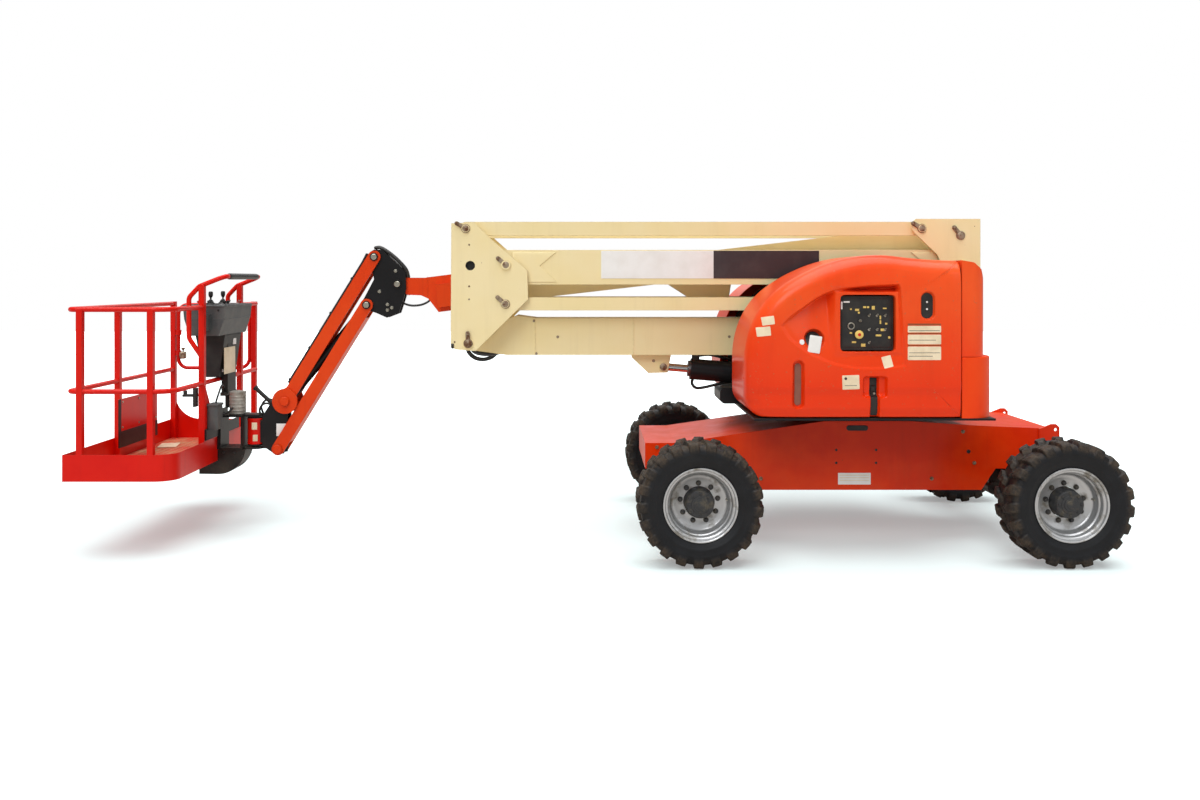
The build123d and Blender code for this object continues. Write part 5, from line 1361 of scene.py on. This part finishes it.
# Kick panel: black backing along its foot and near edge, and bolts.
kick = {"x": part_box("front_panel")[1][0], "foot": (-0.200, 0.490, 0.620, 0.738),
        "edge": (-0.200, -0.158, 0.620, 0.975), "boltY": (-0.130, 0.150, 0.460), "boltZ": (0.765, 0.950)}
backing = joined([pad(boxed(*kick["foot"]), onEnd(kick["x"]), 0.003, 0.001),
                  pad(boxed(*kick["edge"]), onEnd(kick["x"]), 0.0035, 0.001)])
kickBolts = bolts([(kick["x"], y, z) for y in kick["boltY"] for z in kick["boltZ"]], (1, 0, 0), 0.012, 0.006)

# Floor: a plate with worn enamel under sandy dirt, raised studs, and a pale flat scrap that lies on it.
floorEnamel = sprayedEnamel("wornFloorEnamel", {
    **enamel, "base": "#C41A0C", "fadeAndHighlight": "#CE3A20", "dirt": "#7A5A40", "dust": "#B9926C", "topDust": 0.95,
    "chip": "#8A7766", "rust": "#5A3A24", "streaks": 0.3, "wear": 0.8, "roughness": 0.5, "edgeRadius": 0.002})
deck = {"plate": (-3.468, -2.880, -0.880, 0.880), "z": 0.536, "studZ": 0.5378, "studX": (-3.44, -2.90, 12),
        "studY": (-0.85, 0.85, 36), "scrap": (-3.395, -3.255, 0.360, 0.570), "scrapTurn": 12, "scrapZ": 0.541}
studProfile = [(0, 0.003), (0.009, 0.003), (0.012, 0), (0, 0)]
studX, studY = np.meshgrid(np.linspace(*deck["studX"]), np.linspace(*deck["studY"]))
studs = np.stack([studX.ravel(), studY.ravel(), np.full(studX.size, deck["studZ"])], 1)
floorShape = joined([pad(boxed(*deck["plate"], 0.010), onTop(deck["z"]), 0.002, 0.001, 0.0005),
                     turned(studProfile, studs, upward, 8)])
scrap = pad(tilted(boxed(*deck["scrap"], 0.010), deck["scrapTurn"]), onTop(deck["scrapZ"]), 0.003, 0.001)

# Back of the platform: gusset on the guard post, grey connector box, clamp, and cables to the support with
# the radius of each.
gusset = [(-0.352, 0.700), (-0.150, 0.700), (-0.170, 0.790), (-0.215, 0.890), (-0.270, 0.985),
          (-0.330, 1.075), (-0.352, 1.090)]
connector = [block((-2.741, -0.318, 0.770), (-2.664, -0.205, 0.945), 0.012, 0.008),
             block((-2.746, -0.325, 0.940), (-2.660, -0.198, 0.958), 0.008, 0.004)]
clamp = [((-2.905, -0.352, 1.012), (-2.800, -0.308, 1.030)),
         ((-2.828, -0.356, 0.940), (-2.806, -0.304, 1.075)),
         ((-2.900, -0.346, 1.030), (-2.880, -0.314, 1.056))]
cables = [([(-2.700, -0.260, 0.950), (-2.690, -0.235, 1.010), (-2.695, -0.150, 1.070),
            (-2.712, -0.060, 1.060), (-2.716, 0.000, 1.010)], 0.007),
          ([(-2.690, -0.205, 0.860), (-2.665, -0.150, 0.870), (-2.650, -0.110, 0.880),
            (-2.640, -0.070, 0.900)],
           0.008),
          ([(-2.705, 0.050, 0.985), (-2.690, 0.075, 0.940), (-2.655, 0.085, 0.900), (-2.610, 0.080, 0.865)],
           0.009)]
guardBolts = [(-2.560, 0.545), (-2.620, 0.575), (-2.700, 0.575)]
addPieces("platform", (
    ("kickBacking", backing, blackAbs, "black_paint"),
    ("kickBolts", kickBolts, zincPlate, "axle_steel"),
    ("basketFloor", floorShape, floorEnamel, "basket_paint"),
    ("floorScrap", scrap, paleVinyl, "basket_paint"),
    ("postGusset", pad(gusset, onEnd(-2.747), 0.006, 0.002), basketEnamel, "basket_paint"),
    ("connectorBox", joined(connector), greyAbs, "console_plastic"),
    ("postClamp", joined([block(low, high) for low, high in clamp]), blackAbs, "black_paint"),
    ("platformCables", joined([hose(line, radius, 36) for line, radius in cables]), rubberHose,
     "black_paint"),
    ("guardBolts", sideBolts(guardBolts, 0.088, 0.014, 0.008), blackAbs, "black_paint")))
print("basket trim done")

# Chassis sides: blank placard with marks, a slot and round access holes as (X, Z, radius), each a flat black
# pad of painted shade for its dark inside, and bolts.
chassis = {"y": 0.450, "placard": (1.742, 1.972, 0.408, 0.490), "markInset": 0.012, "markPitch": 0.018,
           "slot": (1.800, 1.955, 0.786, 0.824),
           "holes": ((1.730, 0.560, 0.009), (2.010, 0.560, 0.009), (1.730, 0.651, 0.009),
                     (2.010, 0.651, 0.009), (0.930, 0.640, 0.014), (2.660, 0.640, 0.014)),
           "bolts": [(0.470, 0.670), (0.520, 0.560), (2.620, 0.780), (2.700, 0.560), (1.200, 0.450),
                     (2.400, 0.450)]}
for name, side in (("near", -1), ("far", 1)):
    face = onSide(side * chassis["y"])
    x0, x1, z0, z1 = chassis["placard"]
    inset, pitch = chassis["markInset"], chassis["markPitch"]
    marks = [(x0 + inset, x1 - inset, z1 - 0.018 - k * pitch, z1 - 0.014 - k * pitch) for k in range(3)]
    x0, x1, z0, z1 = chassis["slot"]
    half = (z1 - z0) / 2
    # painted shade: the slot and the access holes are flat black pads standing in for the shade inside them
    slot = capsule((x0 + 0.02, (z0 + z1) / 2), (x1 - 0.02, (z0 + z1) / 2), half)
    holes = [pad(circle(radius, 24, (x, z)), face, 0.0015) for x, z, radius in chassis["holes"]]
    bolted = bolts([(x, side * chassis["y"], z) for x, z in chassis["bolts"]], (0, side, 0), 0.019, 0.011)
    addPieces("chassis", (
        ("placard_" + name, pad(boxed(*chassis["placard"]), face, 0.002), whiteVinyl, "chassis_paint"),
        ("placardMarks_" + name, pads(marks, face, 0.0028, 0.0003), paleVinyl, "chassis_paint"),
        ("frameHoleShade_" + name, joined([pad(slot, face, 0.002, 0.001), *holes]), blackAbs, "black_paint"),
        ("frameBolts_" + name, bolted, rustedPin, "axle_steel")))
print("chassis trim done")

# Pale floor and soft, distant light, so that a raised boom is lit like a lowered one: turn in degrees,
# angular size in degrees, strength.
studio = {"floorSize": 60.0, "floorColour": "#CCDCDC", "bounceColour": "#C4BFB8", "shadowLift": 0.3,
          "sky": 0.31, "white": (1, 1, 1, 1), "plainFrom": 3.5, "plainTo": 9.0, "lampHeight": 20}
lamps = {"overhead": ((2, 0, 0), 62, 3.0), "key": ((52, 0, -24), 30, 1.02), "fill": ((68, 0, 40), 25, 0.2),
         "back": ((-62, 0, 0), 34, 0.3)}


def litWorld():
    # white where the camera sees it, and a weaker light on everything else
    world = bpy.data.worlds.new("studioWorld")
    bpy.context.scene.world = world
    world.use_nodes = True
    world.node_tree.nodes.clear()
    node = partial(addNode, world.node_tree)
    sky = node("Background", {"Color": studio["white"], "Strength": studio["sky"]})
    shown = node("Background", {"Color": studio["white"], "Strength": 1.0})
    seen = node("LightPath", out="Is Camera Ray")
    node("OutputWorld", {"Surface": node("MixShader", {0: seen, 1: sky, 2: shown})})


def paleFloor():
    # away from the object the floor goes plain white, so that no horizon shows; other rays meet a neutral
    # floor
    material, node, place = newMaterial("paleFloor")
    matt = node("BsdfDiffuse", {"Color": studio["floorColour"]})
    bounce = node("BsdfDiffuse", {"Color": studio["bounceColour"]})
    away = node("VectorMath", {"operation": "LENGTH", 0: place}, "Value")
    strength = node("MapRange", {"From Min": studio["plainFrom"], "From Max": studio["plainTo"],
                                 "To Min": studio["shadowLift"], "To Max": 1.0, "Value": away})
    lift = node("Emission", {"Color": studio["white"], "Strength": strength})
    both = node("AddShader", {0: matt, 1: lift})
    seen = node("LightPath", out="Is Camera Ray")
    node("OutputMaterial", {"Surface": node("MixShader", {0: seen, 1: bounce, 2: both})})
    return material


def layFloor():
    half = studio["floorSize"] / 2
    mesh = bpy.data.meshes.new("studioFloor")
    mesh.from_pydata([(-half, -half, 0), (half, -half, 0), (half, half, 0), (-half, half, 0)], [],
                     [(0, 1, 2, 3)])
    mesh.materials.append(paleFloor())
    floor = bpy.data.objects.new("studioFloor", mesh)
    bpy.context.scene.collection.objects.link(floor)


def hangLamps():
    for name, (turn, spread, strength) in lamps.items():
        light = bpy.data.lights.new(name + "Lamp", "SUN")
        light.angle = math.radians(spread)
        light.energy = strength
        lamp = bpy.data.objects.new(name + "Lamp", light)
        lamp.location = (0, 0, studio["lampHeight"])
        lamp.rotation_euler = [math.radians(angle) for angle in turn]
        bpy.context.scene.collection.objects.link(lamp)


litWorld()
layFloor()
hangLamps()
bpy.context.scene.view_settings.view_transform = "Standard"
print("studio ready")
